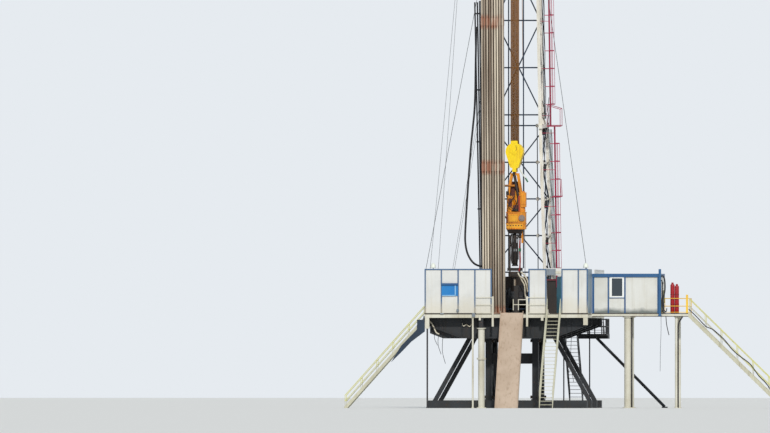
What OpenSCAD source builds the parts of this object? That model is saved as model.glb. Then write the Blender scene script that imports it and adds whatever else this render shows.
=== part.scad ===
// Land drilling rig with a guyed, telescoping mast, as a 1:2 scale model.
// Sizes are millimetres of the model, so a real size is twice the number written here.
// Places are measured from the well centre on the ground: +X right, -Y towards the pipe ramp, +Z up.

/* [Drill floor] */
// Height of the drill floor above the ground
floor_z = 3080; // [2900:10:3300]
// Width of the drill floor from side to side
floor_w = 5350; // [5200:10:5600]
// From the well centre forward to the floor's front edge
floor_front = 2750; // [2700:10:2900]
// From the well centre back to the floor's rear edge
floor_back = 2650; // [2600:10:2900]
// Thickness of the deck plates
deck_t = 30; // [20:1:45]
// Height of the pale edge beam under the deck
edge_h = 105; // [80:1:140]
// Width of the edge beam
edge_w = 60; // [40:1:80]
// Depth of the floor girders at the middle
girder_h = 670; // [500:10:700]
// Depth of the floor girders at their outer tips
girder_tip_h = 260; // [200:10:320]

/* [Substructure] */
// Sideways distance from the well centre to each leg
leg_x = 767; // [700:1:820]
// Width of a leg box
leg_w = 200; // [160:10:240]
// Fore and aft distance from the well centre to the legs
leg_y = 850; // [800:10:900]
// Fore and aft distance from the well centre to the outer beams under the floor and on the ground
beam_y = 2300; // [2200:10:2400]
// Height of the base skids on the ground
skid_h = 250; // [200:10:320]
// Thickness of a raking strut
strut_w = 150; // [120:10:200]
// Diameter of the pale front columns
column_d = 215; // [160:5:240]

/* [Wind walls] */
// Height of the wind walls
wall_h = 1450; // [1300:10:1600]
// Thickness of a wind wall panel
wall_t = 24; // [16:1:36]
// Width of the posts between the panels
wall_post_w = 36; // [24:1:50]
// Left edge of the V-door opening
vdoor_left = -475; // [-560:5:-420]
// Width of the V-door opening
vdoor_w = 1205; // [1100:5:1250]
// Width of the wall bay between the V-door and the stair doorway
centre_bay_w = 590; // [540:5:640]
// Width of the doorway at the head of the front stair
door_w = 490; // [440:5:540]
// Height of that doorway
door_h = 1245; // [1100:5:1300]
// How far the door leaf stands open at rest, in degrees
door_rest = 67; // [30:1:80]

/* [Stairs] */
// Number of risers from the ground to the drill floor
risers = 26; // [22:1:30]
// Clear width between the stringers of the stairs
stair_w = 410; // [360:5:460]
// Depth of a stringer, square to the slope
stringer_d = 110; // [80:5:140]
// Thickness of a stringer
stringer_t = 16; // [10:1:24]
// Height of the handrails above the treads
rail_h = 500; // [450:5:550]
// Diameter of the handrail tubes
rail_d = 22; // [16:1:30]
// Horizontal run of the front stair
front_run = 2600; // [2400:10:2900]
// Horizontal run of the left stair, which starts one riser below the floor
left_run = 2650; // [2500:10:2900]
// Height of its handrails above the treads
left_rail_h = 390; // [360:5:450]
// Horizontal run of the right stair
right_run = 3160; // [2900:10:3400]
// Horizontal run of the pipe ramp
ramp_run = 1780; // [1600:10:2000]
// Width of the pipe ramp
ramp_w = 750; // [650:10:850]

/* [Dog house] */
// Left end of the dog house
house_x = 2700; // [2690:5:2760]
// Length of the dog house
house_l = 2250; // [2100:10:2400]
// Front plane of the dog house, forward of the well centre
house_front = 1550; // [1450:10:1700]
// Depth of the dog house
house_d = 1200; // [1100:10:1400]
// Height of the dog house from its floor to the roof's top
house_h = 1305; // [1200:5:1400]
// Thickness of the dog house walls
house_t = 30; // [20:1:40]
// Length of the landing to the right of the dog house
landing_l = 900; // [800:10:1000]

/* [Mast] */
// Foot of the mast, back from the well centre
mast_y = 1225; // [1180:5:1280]
// Forward lean of the mast, in degrees
mast_lean = 3.5; // [3.2:0.1:3.8]
// Length of the lower section
lower_l = 6230; // [5800:10:6600]
// Length of the whole mast to the underside of the crown
mast_l = 18900; // [18000:50:19500]
// Half the width of the lower section at the floor, to the chord's middle
lower_w0 = 945; // [900:5:1000]
// Half the width of the lower section at its head
lower_w1 = 795; // [760:5:860]
// Half the depth of the lower section, to the chord's middle
lower_d = 475; // [420:5:520]
// How much further out the lower section's rear chords stand
lower_splay = 110; // [0:5:150]
// Half the width of the upper section at its foot
upper_w0 = 775; // [750:5:840]
// Half the width of the upper section at the crown
upper_w1 = 640; // [600:5:700]
// Half the depth of the upper section
upper_d = 325; // [280:5:360]
// Side of the square chords
chord_t = 100; // [80:5:120]
// Side of the bracing bars
brace_t = 44; // [30:2:60]
// Spacing of the lower section's levels
lower_pitch = 1205; // [1000:5:1240]
// Spacing of the upper section's levels
upper_pitch = 1550; // [1400:10:1600]

/* [Pipe stands] */
// Diameter of the drill pipe
pipe_d = 64; // [50:1:70]
// Diameter of its tool joints
joint_d = 80; // [70:1:83]
// Length of one pipe between tool joints
pipe_l = 4750; // [4600:10:4800]
// Sideways spacing of the stands
stand_pitch = 84; // [84:1:95]
// Spacing of the rows
stand_row_pitch = 100; // [96:1:120]
// Stands across one row
stands_across = 9; // [5:1:9]
// Rows of stands
stand_rows = 3; // [1:1:4]
// Middle of the racked stands, to the left of the well centre
stands_x = 505; // [500:5:560]
// First row of stands, forward of the well centre
stands_y = 1650; // [1600:10:1700]
// Sideways lean of the stands, in degrees
stand_lean = 0.3; // [0.2:0.05:0.6]

/* [Hoisting] */
// Height of the travelling block's top at rest
block_top = 8750; // [8600:10:9000]
// Height of the travelling block
block_h = 1020; // [900:10:1100]
// Width of the travelling block
block_w = 574; // [540:2:600]
// Depth of the travelling block
block_d = 500; // [496:2:540]
// Radius of the sheaves at the line
sheave_r = 220; // [200:5:230]
// Spacing of the drilling lines
line_pitch = 48; // [44:1:52]
// Diameter of the drilling line
line_d = 18; // [12:1:24]
// Parts of line on each side of the sheaves
line_parts = 6; // [4:1:6]
// Half the distance between the guide rails
guide_x = 245; // [235:5:260]
// Guide rails, back from the well centre
guide_y = 330; // [320:5:340]
// Diameter of a guide rail
guide_d = 40; // [30:1:50]
// Radius of the rotary table's bore
rotary_r = 175; // [150:5:220]

/* [Hidden] */
// Seat gap between pieces that rest on each other, and running gap of pieces that slide
seat = 0.3;
run_gap = 6;
half_w = floor_w / 2;
deck_bottom = floor_z - deck_t;
girder_top = deck_bottom - edge_h;
girder_bottom = girder_top - girder_h;
table_hole = 400;
table_z = deck_bottom - 130;
rotary_beam_x = 330;
house_y0 = -house_front;
house_y1 = house_y0 + house_d;
house_x1 = house_x + house_l;
house_column_x = house_x1 - 1100;
landing_column_x = house_x1 + 500;
landing_x1 = house_x1 + landing_l;
platform_t = 95;
platform_z = floor_z - platform_t;
rear_z = 2435;
rear_y0 = floor_back + seat;
rear_walk = 500;
rear_basket = 1000;
rear_x0 = 1250;
rear_x1 = 2750;
rear_risers = 20;
rear_run = 2050;
stair_total_w = stair_w + 2 * stringer_t;
rise = floor_z / risers;
left_stair_y = -floor_front + 80 + stair_total_w / 2;
right_stair_y = house_y0 + 30 + stair_total_w / 2;
front_stair_x = vdoor_left + vdoor_w + centre_bay_w + door_w / 2;
rear_stair_x = rear_x0 + stair_total_w / 2 + 30;
ramp_x = vdoor_left + vdoor_w / 2 + 60;
// The frame's origin is the middle of the whole rig's plan, on the ground
plan_x0 = -half_w - seat - left_run;
plan_x1 = landing_x1 + seat + right_run;
plan_y0 = -floor_front - seat - front_run;
plan_y1 = rear_y0 + rear_walk + seat + rear_run;
origin_x = (plan_x0 + plan_x1) / 2;
origin_y = (plan_y0 + plan_y1) / 2;

// Colours
pale = "#cfcdc6";
cream = "#d8d5c6";
dark = "#1c2430";
navy = "#1b3a57";
mast_white = "#e8e4d4";
blue = "#1f5fa0";
rail_yellow = "#e7a81c";
steel_grey = "#8d8f8c";

// Shared shapes

// Box between two opposite corners
module block(a, b) translate(a) cube(b - a);

// Straight bar from a to b, square when sides is 4
module bar(a, b, d, sides = 4) {
    v = b - a;
    across = sides == 4 ? d * sqrt(2) : d;
    translate(a) rotate([0, acos(v.z / norm(v)), atan2(v.y, v.x)]) rotate([0, 0, 180 / sides])
        cylinder(d = across, h = norm(v), $fn = sides);
}

// Outline in X and Z, carried along Y from y0 to y1
module along_y(y0, y1) translate([0, y1, 0]) rotate([90, 0, 0]) linear_extrude(y1 - y0) children();

// Outline in Y and Z, carried along X from x0 to x1
module along_x(x0, x1) translate([x0, 0, 0]) rotate([90, 0, 90]) linear_extrude(x1 - x0) children();

// Value at z on the straight line from (z0, a) to (z1, b)
function on_line(z, z0, a, z1, b) = a + (b - a) * (z - z0) / (z1 - z0);

// Arc of points round c, from angle a0 to a1
function arc(c, r, a0, a1, n = 8) = [for (i = [0:n]) let (a = a0 + (a1 - a0) * i / n) c + r * [cos(a), sin(a)]];

// Outline closed by its own mirror image across the Y axis
function mirrored(p) = concat(p, [for (i = [len(p) - 1:-1:0]) [-p[i].x, p[i].y]]);

// Substructure

// Beams across with skids between them, and outriggers under the struts; the ground below the well stays free
module base_frame() color(dark) {
    reach = half_w - 60;
    beam = 170;
    skid_w = leg_w + 60;
    for (s = [-1, 1]) {
        translate([0, s * beam_y, 0]) block([-reach, -beam, 0], [reach, beam, skid_h]);
        translate([s * leg_x, 0, 0]) block([-skid_w / 2, -beam_y + beam + seat, 0], [skid_w / 2, beam_y - beam - seat, skid_h]);
        for (side = [-1, 1]) {
            inner = leg_x + skid_w / 2 + seat;
            block([min(side * inner, side * reach), s * leg_y - 120, 0], [max(side * inner, side * reach), s * leg_y + 120, skid_h]);
        }
    }
}

// Box leg with diaphragm plates at its foot and head
module leg(h) {
    block([-leg_w / 2, -150, 0], [leg_w / 2, 150, h]);
    for (z = [0, h - 40]) block([-leg_w / 2 - 30, -180, z], [leg_w / 2 + 30, 180, z + 40]);
}

// Raking strut from an outrigger up to the girder, cut level at both ends
module raking_strut(y, side, z0, z1) {
    foot_x = half_w - 140;
    head_x = 1409;
    along_y(y - strut_w / 2, y + strut_w / 2) polygon([
        [side * (foot_x - strut_w / 2), z0], [side * (foot_x + strut_w / 2), z0],
        [side * (head_x + strut_w / 2), z1], [side * (head_x - strut_w / 2), z1]]);
}

module substructure_legs() color(dark) {
    h = girder_bottom - skid_h;
    for (side = [-1, 1], y = [-leg_y, leg_y]) {
        translate([side * leg_x, y, skid_h]) leg(h);
        raking_strut(y, side, skid_h, girder_bottom);
    }
    // Cross beams between the legs
    span = leg_x - leg_w / 2 - seat;
    for (y = [-leg_y, leg_y]) block([-span, y - 60, skid_h + 1200], [span, y + 60, skid_h + 1540]);
    // Cross bracing in the side planes, between the legs
    for (x = [-leg_x, leg_x], s = [-1, 1])
        bar([x, -s * (leg_y - 120), skid_h + 150], [x, s * (leg_y - 120), girder_bottom - 150], 90);
}

// Deep cross girder, shallow at its tips, with flanges
module cross_girder(y) {
    flange = 24;
    shoulder = 1500;
    tip = half_w - edge_w;
    bottom = [[-tip, girder_top - girder_tip_h], [-shoulder, girder_bottom],
        [shoulder, girder_bottom], [tip, girder_top - girder_tip_h]];
    along_y(y - 12, y + 12) polygon(concat(bottom, [[tip, girder_top], [-tip, girder_top]]));
    block([-tip, y - 90, girder_top - flange], [tip, y + 90, girder_top]);
    along_y(y - 90, y + 90) polygon(concat(bottom,
        [for (i = [3:-1:0]) bottom[i] + [0, flange]]));
    for (x = [-shoulder, -leg_x, leg_x, shoulder])
        block([x - 10, y - 90, girder_bottom], [x + 10, y + 90, girder_top]);
}

module floor_girders() color(dark) {
    rows = [-beam_y, -leg_y, leg_y, beam_y];
    for (y = rows) cross_girder(y);
    // Fore and aft girders between the cross girders
    for (i = [0:2], x = [-leg_x, leg_x]) {
        y0 = rows[i] + 90 + seat;
        y1 = rows[i + 1] - 90 - seat;
        block([x - 12, y0, girder_bottom], [x + 12, y1, girder_top]);
        for (z = [girder_bottom, girder_top - 24]) block([x - 90, y0, z], [x + 90, y1, z + 24]);
    }
    // Rotary beams that carry the table
    for (s = [-1, 1]) translate([s * rotary_beam_x, 0, 0])
        block([-50, rows[1] + 90 + seat, table_z - 320], [50, rows[2] - 90 - seat, table_z]);
}

// Sloping tank hung from the joists under the left of the floor
module trip_tank() color(dark) {
    x0 = -half_w + 115;
    top = girder_top - seat;
    along_y(-beam_y + 110, -1000) polygon([[x0, top - 505], [x0 + 430, top - 669], [-1250, top - 669], [-1250, top], [x0, top]]);
}

// Round pale column with flanges at its foot and head
module column(d, z0, z1) {
    translate([0, 0, z0]) cylinder(d = d, h = z1 - z0);
    for (z = [z0, z1 - 26]) translate([0, 0, z]) cylinder(d = d * 1.45, h = 26);
}

// Column and pipes under the floor's front edge, with brackets at its corners
module front_columns() color(cream) {
    column_z1 = girder_top - 330;
    translate([-825, -beam_y - 330, 0]) {
        column(column_d, 0, column_z1);
        translate([0, 0, 1580]) cylinder(d = column_d * 1.4, h = 60);
        // Head bracket under the edge beam
        block([-70, -110, column_z1], [70, 60, girder_top]);
    }
    translate([-1100, -floor_front + 45, 0]) column(60, 0, girder_top);
    // Post of the left corner, with its bracket; the right corner has the bracket alone
    translate([-half_w + 80, -floor_front + 70, 0]) column(52, 0, girder_top - 330);
    block([-half_w + 10, -floor_front + 5, girder_top - 350], [-half_w + 150, -floor_front + 135, girder_top]);
    block([half_w - 150, -floor_front + 5, girder_top - 240], [half_w - 10, -floor_front + 135, girder_top]);
}

// Floor

module edge_beam() color(cream) {
    z0 = girder_top;
    z1 = deck_bottom;
    for (s = [0, 1]) {
        y0 = s == 0 ? -floor_front : floor_back - edge_w;
        block([-half_w, y0, z0], [half_w, y0 + edge_w, z1]);
        x0 = s == 0 ? -half_w : half_w - edge_w;
        block([x0, -floor_front + edge_w + seat, z0], [x0 + edge_w, floor_back - edge_w - seat, z1]);
    }
    // Joists on the girders carry the deck between the edges
    for (x = [-1900, -1300, 1300, 1900])
        block([x - 30, -floor_front + edge_w + seat, z0], [x + 30, floor_back - edge_w - seat, z1]);
    for (x = [-leg_x, leg_x], end = [0, 1]) {
        y0 = end == 0 ? -floor_front + edge_w + seat : 500;
        y1 = end == 0 ? -500 : floor_back - edge_w - seat;
        block([x - 30, y0, z0], [x + 30, y1, z1]);
    }
}

// Deck plates around the square hole for the rotary table
module floor_deck() color("#6d6a60") {
    hole = table_hole;
    translate([0, 0, deck_bottom]) {
        block([-half_w, -floor_front, 0], [half_w, -hole, deck_t]);
        block([-half_w, hole, 0], [half_w, floor_back, deck_t]);
        block([-half_w, -hole + seat, 0], [-hole, hole - seat, deck_t]);
        block([hole, -hole + seat, 0], [half_w, hole - seat, deck_t]);
    }
}

// Round table in its square housing, with the bore that the pipe goes through
module rotary_table() color(steel_grey) {
    housing = table_hole - seat;
    difference() {
        union() {
            block([-housing, -housing, table_z], [housing, housing, floor_z - 10]);
            translate([0, 0, floor_z - 10]) cylinder(r = 330, h = 30);
        }
        translate([0, 0, table_z - 10]) cylinder(r = rotary_r, h = floor_z - table_z + 100);
    }
}

// Wind walls

// Run of framed panels along +X from the origin, outer face on y = 0
module panel_run(l, n, h = wall_h) {
    frame_t = wall_t + 12;
    block([0, 6, 0], [l, 6 + wall_t, h]);
    for (z = [0, h - wall_post_w]) block([0, 0, z], [l, frame_t, z + wall_post_w]);
    for (i = [0:n]) {
        x = min(max(i * l / n - wall_post_w / 2, 0), l - wall_post_w);
        block([x, 0, 0], [x + wall_post_w, frame_t, h]);
    }
}
wall_full_t = wall_t + 12;
left_wall_l = half_w + vdoor_left;
left_panel_w = left_wall_l / 4;
shutter_w = left_panel_w - 20;
shutter_z0 = 580;
shutter_h = 400;

module front_wall_left() color(pale) translate([-half_w, -floor_front, floor_z]) difference() {
    panel_run(left_wall_l, 4);
    // Window behind the shutter, in the second panel
    block([left_panel_w * 1.5 - shutter_w / 2 + 30, -10, shutter_z0 + 30],
        [left_panel_w * 1.5 + shutter_w / 2 - 30, wall_full_t + 10, shutter_z0 + shutter_h - 30]);
}

module window_shutter() color(blue) translate([-half_w + left_panel_w * 1.5, -floor_front, floor_z + shutter_z0]) {
    block([-shutter_w / 2, -20, 0], [shutter_w / 2, -seat, shutter_h]);
    for (x = [-shutter_w / 3, shutter_w / 3]) block([x - 20, -28, shutter_h - 40], [x + 20, -20, shutter_h]);
}

module front_wall_right() color(pale) translate([0, -floor_front, floor_z]) {
    bay_x = vdoor_left + vdoor_w;
    door_x = bay_x + centre_bay_w;
    translate([bay_x, 0, 0]) panel_run(centre_bay_w, 1);
    translate([door_x + door_w, 0, 0]) panel_run(left_panel_w, 1);
    translate([door_x + door_w + left_panel_w - wall_post_w / 2, 0, 0])
        panel_run(half_w - door_x - door_w - left_panel_w + wall_post_w / 2, 1);
    // Lintel box over the doorway
    block([door_x + seat, -30, door_h], [door_x + door_w - seat, wall_full_t, wall_h + 30]);
    // Lugs that hold the door's pin at its foot and head
    for (z = [6, door_h - 40 + seat]) block([door_hinge.x - 9, wall_full_t - 4, z],
        [door_x + door_w + 30, door_hinge.y + floor_front + 10, z + 14 - seat]);
}

// Side walls: the left one leaves the stair doorway, the right one leaves the dog house
module side_walls() color(pale) {
    y0 = -floor_front + wall_full_t + seat;
    y1 = floor_back - wall_full_t - seat;
    stair_y1 = left_stair_y + stair_total_w / 2 + 20;
    translate([-half_w, y1, floor_z]) rotate([0, 0, -90]) panel_run(y1 - stair_y1, 5);
    translate([half_w, y0, floor_z]) rotate([0, 0, 90]) panel_run(house_y0 - y0, 2);
    translate([half_w, house_y1, floor_z]) rotate([0, 0, 90]) panel_run(y1 - house_y1, 5);
}

module rear_walls() color(pale) {
    steps_x = rear_x1 - 620;
    translate([-900, floor_back, floor_z]) rotate([0, 0, 180]) panel_run(half_w - 900, 3);
    translate([steps_x, floor_back, floor_z]) rotate([0, 0, 180]) panel_run(steps_x - 900, 2);
}

door_hinge = [vdoor_left + vdoor_w + centre_bay_w + door_w - 10, -floor_front + wall_full_t + 20];

// Leaf of the front stair's doorway, hung on the right jamb and folded inwards
module floor_door() color("#3d7f93") translate([door_hinge.x, door_hinge.y, floor_z])
    rotate([0, 0, -door_rest]) {
        block([-door_w + 26, -12, 20], [-12, 12, door_h - 40]);
        translate([0, 0, 20]) cylinder(d = 16, h = door_h - 60);
        for (z = [160, door_h - 240]) block([-80, -16, z], [0, 16, z + 60]);
        // Handle on both faces
        block([-door_w + 60, -26, 560], [-door_w + 80, 26, 640]);
    }

// Guard posts and rails beside the V-door
module vdoor_rails() color("#eceae0") {
    y = -floor_front - seat;
    for (side = [-1, 1]) {
        post_x = side < 0 ? vdoor_left + 40 : vdoor_left + vdoor_w - 40;
        reach = side < 0 ? vdoor_left - left_panel_w + 40 : vdoor_left + vdoor_w + centre_bay_w - 40;
        block([post_x - 32, y - 60, floor_z - 420], [post_x + 32, y, floor_z + 560]);
        for (z = [15, 277, 520]) block([min(post_x, reach), y - 24, floor_z + z - 12],
            [max(post_x, reach), y, floor_z + z + 12]);
    }
    // Short rails that narrow the V-door beside the ramp
    right_x = vdoor_left + vdoor_w - 40;
    block([right_x - 468, y - 24, floor_z + 281], [right_x, y, floor_z + 305]);
    block([right_x - 300, y - 24, floor_z + 445], [right_x, y, floor_z + 469]);
    for (x = [right_x - 468, right_x - 300]) block([x, y - 24, floor_z + 110], [x + 24, y, floor_z + 469]);
}

// Ramp up which pipe is dragged: cambered plate between flanged sides, with ribs below
module vdoor_ramp() color("#c9b39e") {
    top = [-floor_front - seat, floor_z];
    foot = [-floor_front - ramp_run, 0];
    slope = atan2(top.y - foot.y, top.x - foot.x);
    difference() {
        translate([ramp_x, foot.x, foot.y]) rotate([slope - 90, 0, 0]) {
            len = norm(top - foot) + 60;
            block([-ramp_w / 2, -14, -60], [ramp_w / 2, 0, len]);
            for (x = [-ramp_w / 2, ramp_w / 2 - 16]) block([x, -60, -60], [x + 16, 100, len]);
            for (i = [0:8]) block([-ramp_w / 2, 0, 60 + i * (len - 120) / 8], [ramp_w / 2, 70, 80 + i * (len - 120) / 8]);
            for (x = [-ramp_w / 6, ramp_w / 6]) block([x - 8, 0, -60], [x + 8, 90, len]);
        }
        block([-2000, -6000, -400], [2000, 0, 0]);
        block([-2000, top.x, 0], [2000, 0, floor_z + 400]);
    }
}

// Stairs

// Flight going down along +X from its head at the origin, with handrails; treads are pieces of their own
module flight(n, total_run, total_rise, rail = rail_h) {
    step_rise = total_rise / n;
    step_run = total_run / n;
    m = total_rise / total_run;
    up = 40;
    down = stringer_d;
    foot_x = (total_rise - down) / m;
    posts = ceil(total_run / 620);
    for (side = [-1, 1]) {
        y_plate = side * (stair_w + stringer_t) / 2;
        y = side * (stair_w + rail_d) / 2;
        along_y(y_plate - stringer_t / 2, y_plate + stringer_t / 2) polygon([[0, up], [0, -down], [foot_x, -total_rise],
            [total_run, -total_rise], [total_run, -total_rise + up]]);
        for (i = [0:posts]) {
            x = 30 + i * (total_run - 60) / posts;
            bar([x, y, -m * x - 20], [x, y, -m * x + rail], rail_d * 0.9, 6);
        }
        for (z = [rail / 2, rail])
            bar([20, y, -m * 20 + z], [total_run - 20, y, -m * (total_run - 20) + z], rail_d, 8);
    }
    for (i = [1:n - 1]) translate([(i - 1) * step_run, 0, -i * step_rise])
        block([4, -stair_w / 2 + seat, -16], [step_run + 14, stair_w / 2 - seat, 0]);
}

module front_stair() color("#d2cba6") translate([front_stair_x, -floor_front - seat, floor_z])
    rotate([0, 0, -90]) flight(risers, front_run, floor_z);

module left_stair() color("#d2cba6") translate([-half_w - seat, left_stair_y, floor_z - rise])
    rotate([0, 0, 180]) flight(risers - 1, left_run, floor_z - rise, left_rail_h);

// Dark box plate in front of the left stair's head, running down below its stringer
module left_stair_brace() color(navy) {
    x0 = -half_w - seat;
    y1 = left_stair_y - stair_w / 2 - rail_d - 2;
    along_y(y1 - 80, y1) polygon([[x0, 3000], [x0 - 40, 3000], [x0 - 40, 2882], [x0 - 247, 2882], [x0 - 247, 2571],
        [x0 - 773, 2030], [x0 - 1095, 1506], [x0 - 728, 1867], [x0 - 448, 2161], [x0, 2500]]);
}

module right_stair() color("#b9b7a6") translate([landing_x1 + seat, right_stair_y, floor_z])
    flight(risers, right_run, floor_z);

module rear_stair() color(dark) translate([rear_stair_x, rear_y0 + rear_walk + seat, rear_z])
    rotate([0, 0, 90]) flight(rear_risers, rear_run, rear_z);

// Row of posts with two rails and a toe board, along a path of corner points
module railing(path, h = rail_h, spacing = 600, d = rail_d) {
    for (k = [0:len(path) - 2]) {
        a = path[k];
        b = path[k + 1];
        n = max(1, round(norm(b - a) / spacing));
        for (i = [0:n]) {
            p = a + (b - a) * i / n;
            bar([p.x, p.y, 0], [p.x, p.y, h], d * 0.9, 6);
        }
        for (z = [h / 2, h]) bar([a.x, a.y, z], [b.x, b.y, z], d, 8);
        bar([a.x, a.y, 50], [b.x, b.y, 50], 14);
    }
}

// Platform behind and below the floor, with the steps down to it
module rear_platform() color(dark) {
    basket_x = rear_x0 + 420;
    steps_x = [rear_x1 - 600, rear_x1 - 120];
    thick = 160;
    tube_d = 46;
    translate([0, 0, rear_z]) {
        block([rear_x0, rear_y0, -60], [rear_x1, rear_y0 + rear_walk, 0]);
        block([basket_x + 100, rear_y0 + rear_walk - 20, -thick], [rear_x1, rear_y0 + rear_basket, 0]);
        translate([0, 0, -1]) railing([[rear_x0 + 12, rear_y0 + 12], [rear_x0 + 12, rear_y0 + rear_walk - 12]]);
        translate([0, 0, -1]) railing([[basket_x + 125, rear_y0 + rear_walk + 25], [basket_x + 125, rear_y0 + rear_basket - 25],
            [rear_x1 - 25, rear_y0 + rear_basket - 25], [rear_x1 - 25, rear_y0 + 25]], 480, 240, tube_d);
    }
    // Posts down to the ground, and the raking prop of the basket
    for (x = [rear_x0 + 40, 2144]) bar([x, rear_y0 + rear_walk - 60, 0], [x, rear_y0 + rear_walk - 60, rear_z - 10], 44, 8);
    bar([2360, rear_y0 + 700, rear_z - thick + 20], [4600, rear_y0 + 700, 36], 100, 12);
    translate([4600, rear_y0 + 700, 0]) block([-90, -90, 0], [90, 90, 40]);
    // Steps between two cheek plates
    for (x = steps_x) along_x(x, x + 12) polygon([[rear_y0, rear_z], [rear_y0 + 480, rear_z],
        [rear_y0 + 480, rear_z + 60], [rear_y0, floor_z - 30]]);
    for (i = [1:4]) block([steps_x[0], rear_y0 + (i - 1) * 115, floor_z - i * 129 - 14],
        [steps_x[1] + 12, rear_y0 + i * 115 + 10, floor_z - i * 129]);
}

// Dog house and landing

module doghouse_platform() color(cream) {
    x0 = half_w + seat;
    for (y = [house_y0, house_y1 - 50]) block([x0, y, platform_z], [landing_x1, y + 50, floor_z - 20]);
    for (x = [x0, house_x1 - 25, landing_x1 - 50])
        block([x, house_y0 + 50, platform_z], [x + 50, house_y1 - 50, floor_z - 20]);
    block([x0, house_y0, floor_z - 20], [landing_x1, house_y1, floor_z]);
}

module doghouse_columns() color("#b9b7aa") {
    for (y = [house_y0 + 115, house_y1 - 115]) {
        translate([house_column_x, y, 0]) column(225, 0, platform_z);
        translate([landing_column_x, y, 0]) column(100, 0, platform_z);
    }
}

house_wall_z = floor_z;
house_wall_h = house_h - 60;
window_x0 = 3310;
window_x1 = 3715;
window_z0 = 545;
window_z1 = 1185;

// Wall plate with upright ribs on its outer face, which is y = 0
module ribbed_wall(l, h, n) {
    block([0, 0, 0], [l, house_t, h]);
    for (i = [0:n]) {
        x = min(max(i * l / n - 15, 0), l - 30);
        block([x, -8, 0], [x + 30, 0, h]);
    }
}

module doghouse_front_wall() color(pale) translate([house_x, house_y0 + 10, floor_z]) difference() {
    ribbed_wall(house_l, house_wall_h, 5);
    block([window_x0 - house_x, -20, window_z0], [window_x1 - house_x, house_t + 10, window_z1]);
}

module doghouse_window() color(blue) translate([0, house_y0 + 10, floor_z]) {
    g = seat;
    difference() {
        union() {
            block([window_x0 + g, 0, window_z0 + g], [window_x1 - g, house_t, window_z1 - g]);
            block([window_x0 - 25, -18, window_z0 - 25], [window_x1 + 25, -8 - g, window_z1 + 25]);
            block([window_x0 + g, -18, window_z0 + g], [window_x1 - g, 2, window_z1 - g]);
        }
        block([window_x0 + 30, -30, window_z0 + 30], [window_x1 - 30, 8, window_z1 - 30]);
    }
}

module doghouse_rear_wall() color(pale) translate([house_x + house_l, house_y1, floor_z])
    rotate([0, 0, 180]) translate([0, 8, 0]) ribbed_wall(house_l, house_wall_h, 5);

module doghouse_end_walls() color(pale) {
    y0 = house_y0 + 10 + house_t + seat;
    y1 = house_y1 - 8 - house_t - seat;
    doorway = [house_y0 + 620, house_y0 + 1020];
    // Left end, split beside and over the doorway to the drill floor
    translate([house_x, 0, floor_z]) {
        block([0, y0, 0], [house_t, doorway[0], house_wall_h]);
        block([0, doorway[1], 0], [house_t, y1, house_wall_h]);
        block([0, doorway[0] + seat, 1030], [house_t, doorway[1] - seat, house_wall_h]);
    }
    // Right end, with the doorway to the landing
    translate([house_x1 - house_t, 0, floor_z]) {
        block([0, y0, 0], [house_t, doorway[0], house_wall_h]);
        block([0, doorway[1], 0], [house_t, y1, house_wall_h]);
        block([0, doorway[0] + seat, 1030], [house_t, doorway[1] - seat, house_wall_h]);
    }
}

// Tall post at the landing's corner of the dog house
module doghouse_post() color(blue) {
    y1 = house_y0 - 10 - seat;
    block([house_x1 - 70, y1 - 60, floor_z - 80], [house_x1 + 10, y1, floor_z + 1455]);
    block([house_x1 - 90, y1 - 60, floor_z - 80], [house_x1 + 30, y1, floor_z - 60]);
}

module doghouse_roof() color(pale) translate([0, 0, floor_z + house_wall_h]) {
    block([house_x - 10, house_y0 - 10, 0], [house_x1 + 10, house_y1 + 10, 40]);
    along_y(house_y0, house_y1) polygon([[house_x, 30], [house_x1, 30], [house_x1, 44], [house_x + house_l / 2, 60], [house_x, 44]]);
}

module landing_rail() color(rail_yellow) {
    y0 = house_y0 + 12;
    y1 = house_y1 - 12;
    stair_y = right_stair_y + stair_total_w / 2 + 12;
    translate([0, 0, floor_z]) {
        railing([[house_x1 + 20, y0], [landing_x1 - 40, y0]]);
        railing([[house_x1 + 20, y1], [landing_x1 - 12, y1], [landing_x1 - 12, stair_y]]);
    }
    // Strong post at the landing's corner
    block([landing_x1 - 80, house_y0, floor_z], [landing_x1 - 10, house_y0 + 40, floor_z + 620]);
}

// Gas bottle with a shoulder, neck and valve guard
module bottle(h, r) rotate_extrude() polygon(concat([[0, 0], [r - 8, 0], [r, 8], [r, h - 190]],
    [for (a = [15:15:75]) [26 + (r - 26) * cos(a), h - 190 + 90 * sin(a)]],
    [[26, h - 100], [26, h - 80], [34, h - 80], [34, h], [0, h]]));

module gas_bottles() color("#a3141f") for (x = [5300, 5490]) translate([x, house_y0 + 130, floor_z]) bottle(900, 80);

// Mast

// Places things in the mast's own frame: origin at its foot, Z along the leaning mast
module in_mast() translate([0, mast_y, floor_z]) rotate([mast_lean, 0, 0]) children();

function lower_w(z) = on_line(z, 60, lower_w0, lower_l, lower_w1);
function upper_w(z) = on_line(z, lower_l, upper_w0, mast_l, upper_w1);
lower_levels = [for (z = [lower_l - lower_pitch * 5 - 60:lower_pitch:lower_l]) z];
upper_levels = [for (z = [lower_l + 300:upper_pitch:mast_l - 200]) z];

// Chord that leans inwards along the mast, square in plan
module chord(w0, w1, z0, z1, y) along_y(y - chord_t / 2, y + chord_t / 2) polygon([
    [w0 - chord_t / 2, z0], [w0 + chord_t / 2, z0], [w1 + chord_t / 2, z1], [w1 - chord_t / 2, z1]]);

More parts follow.
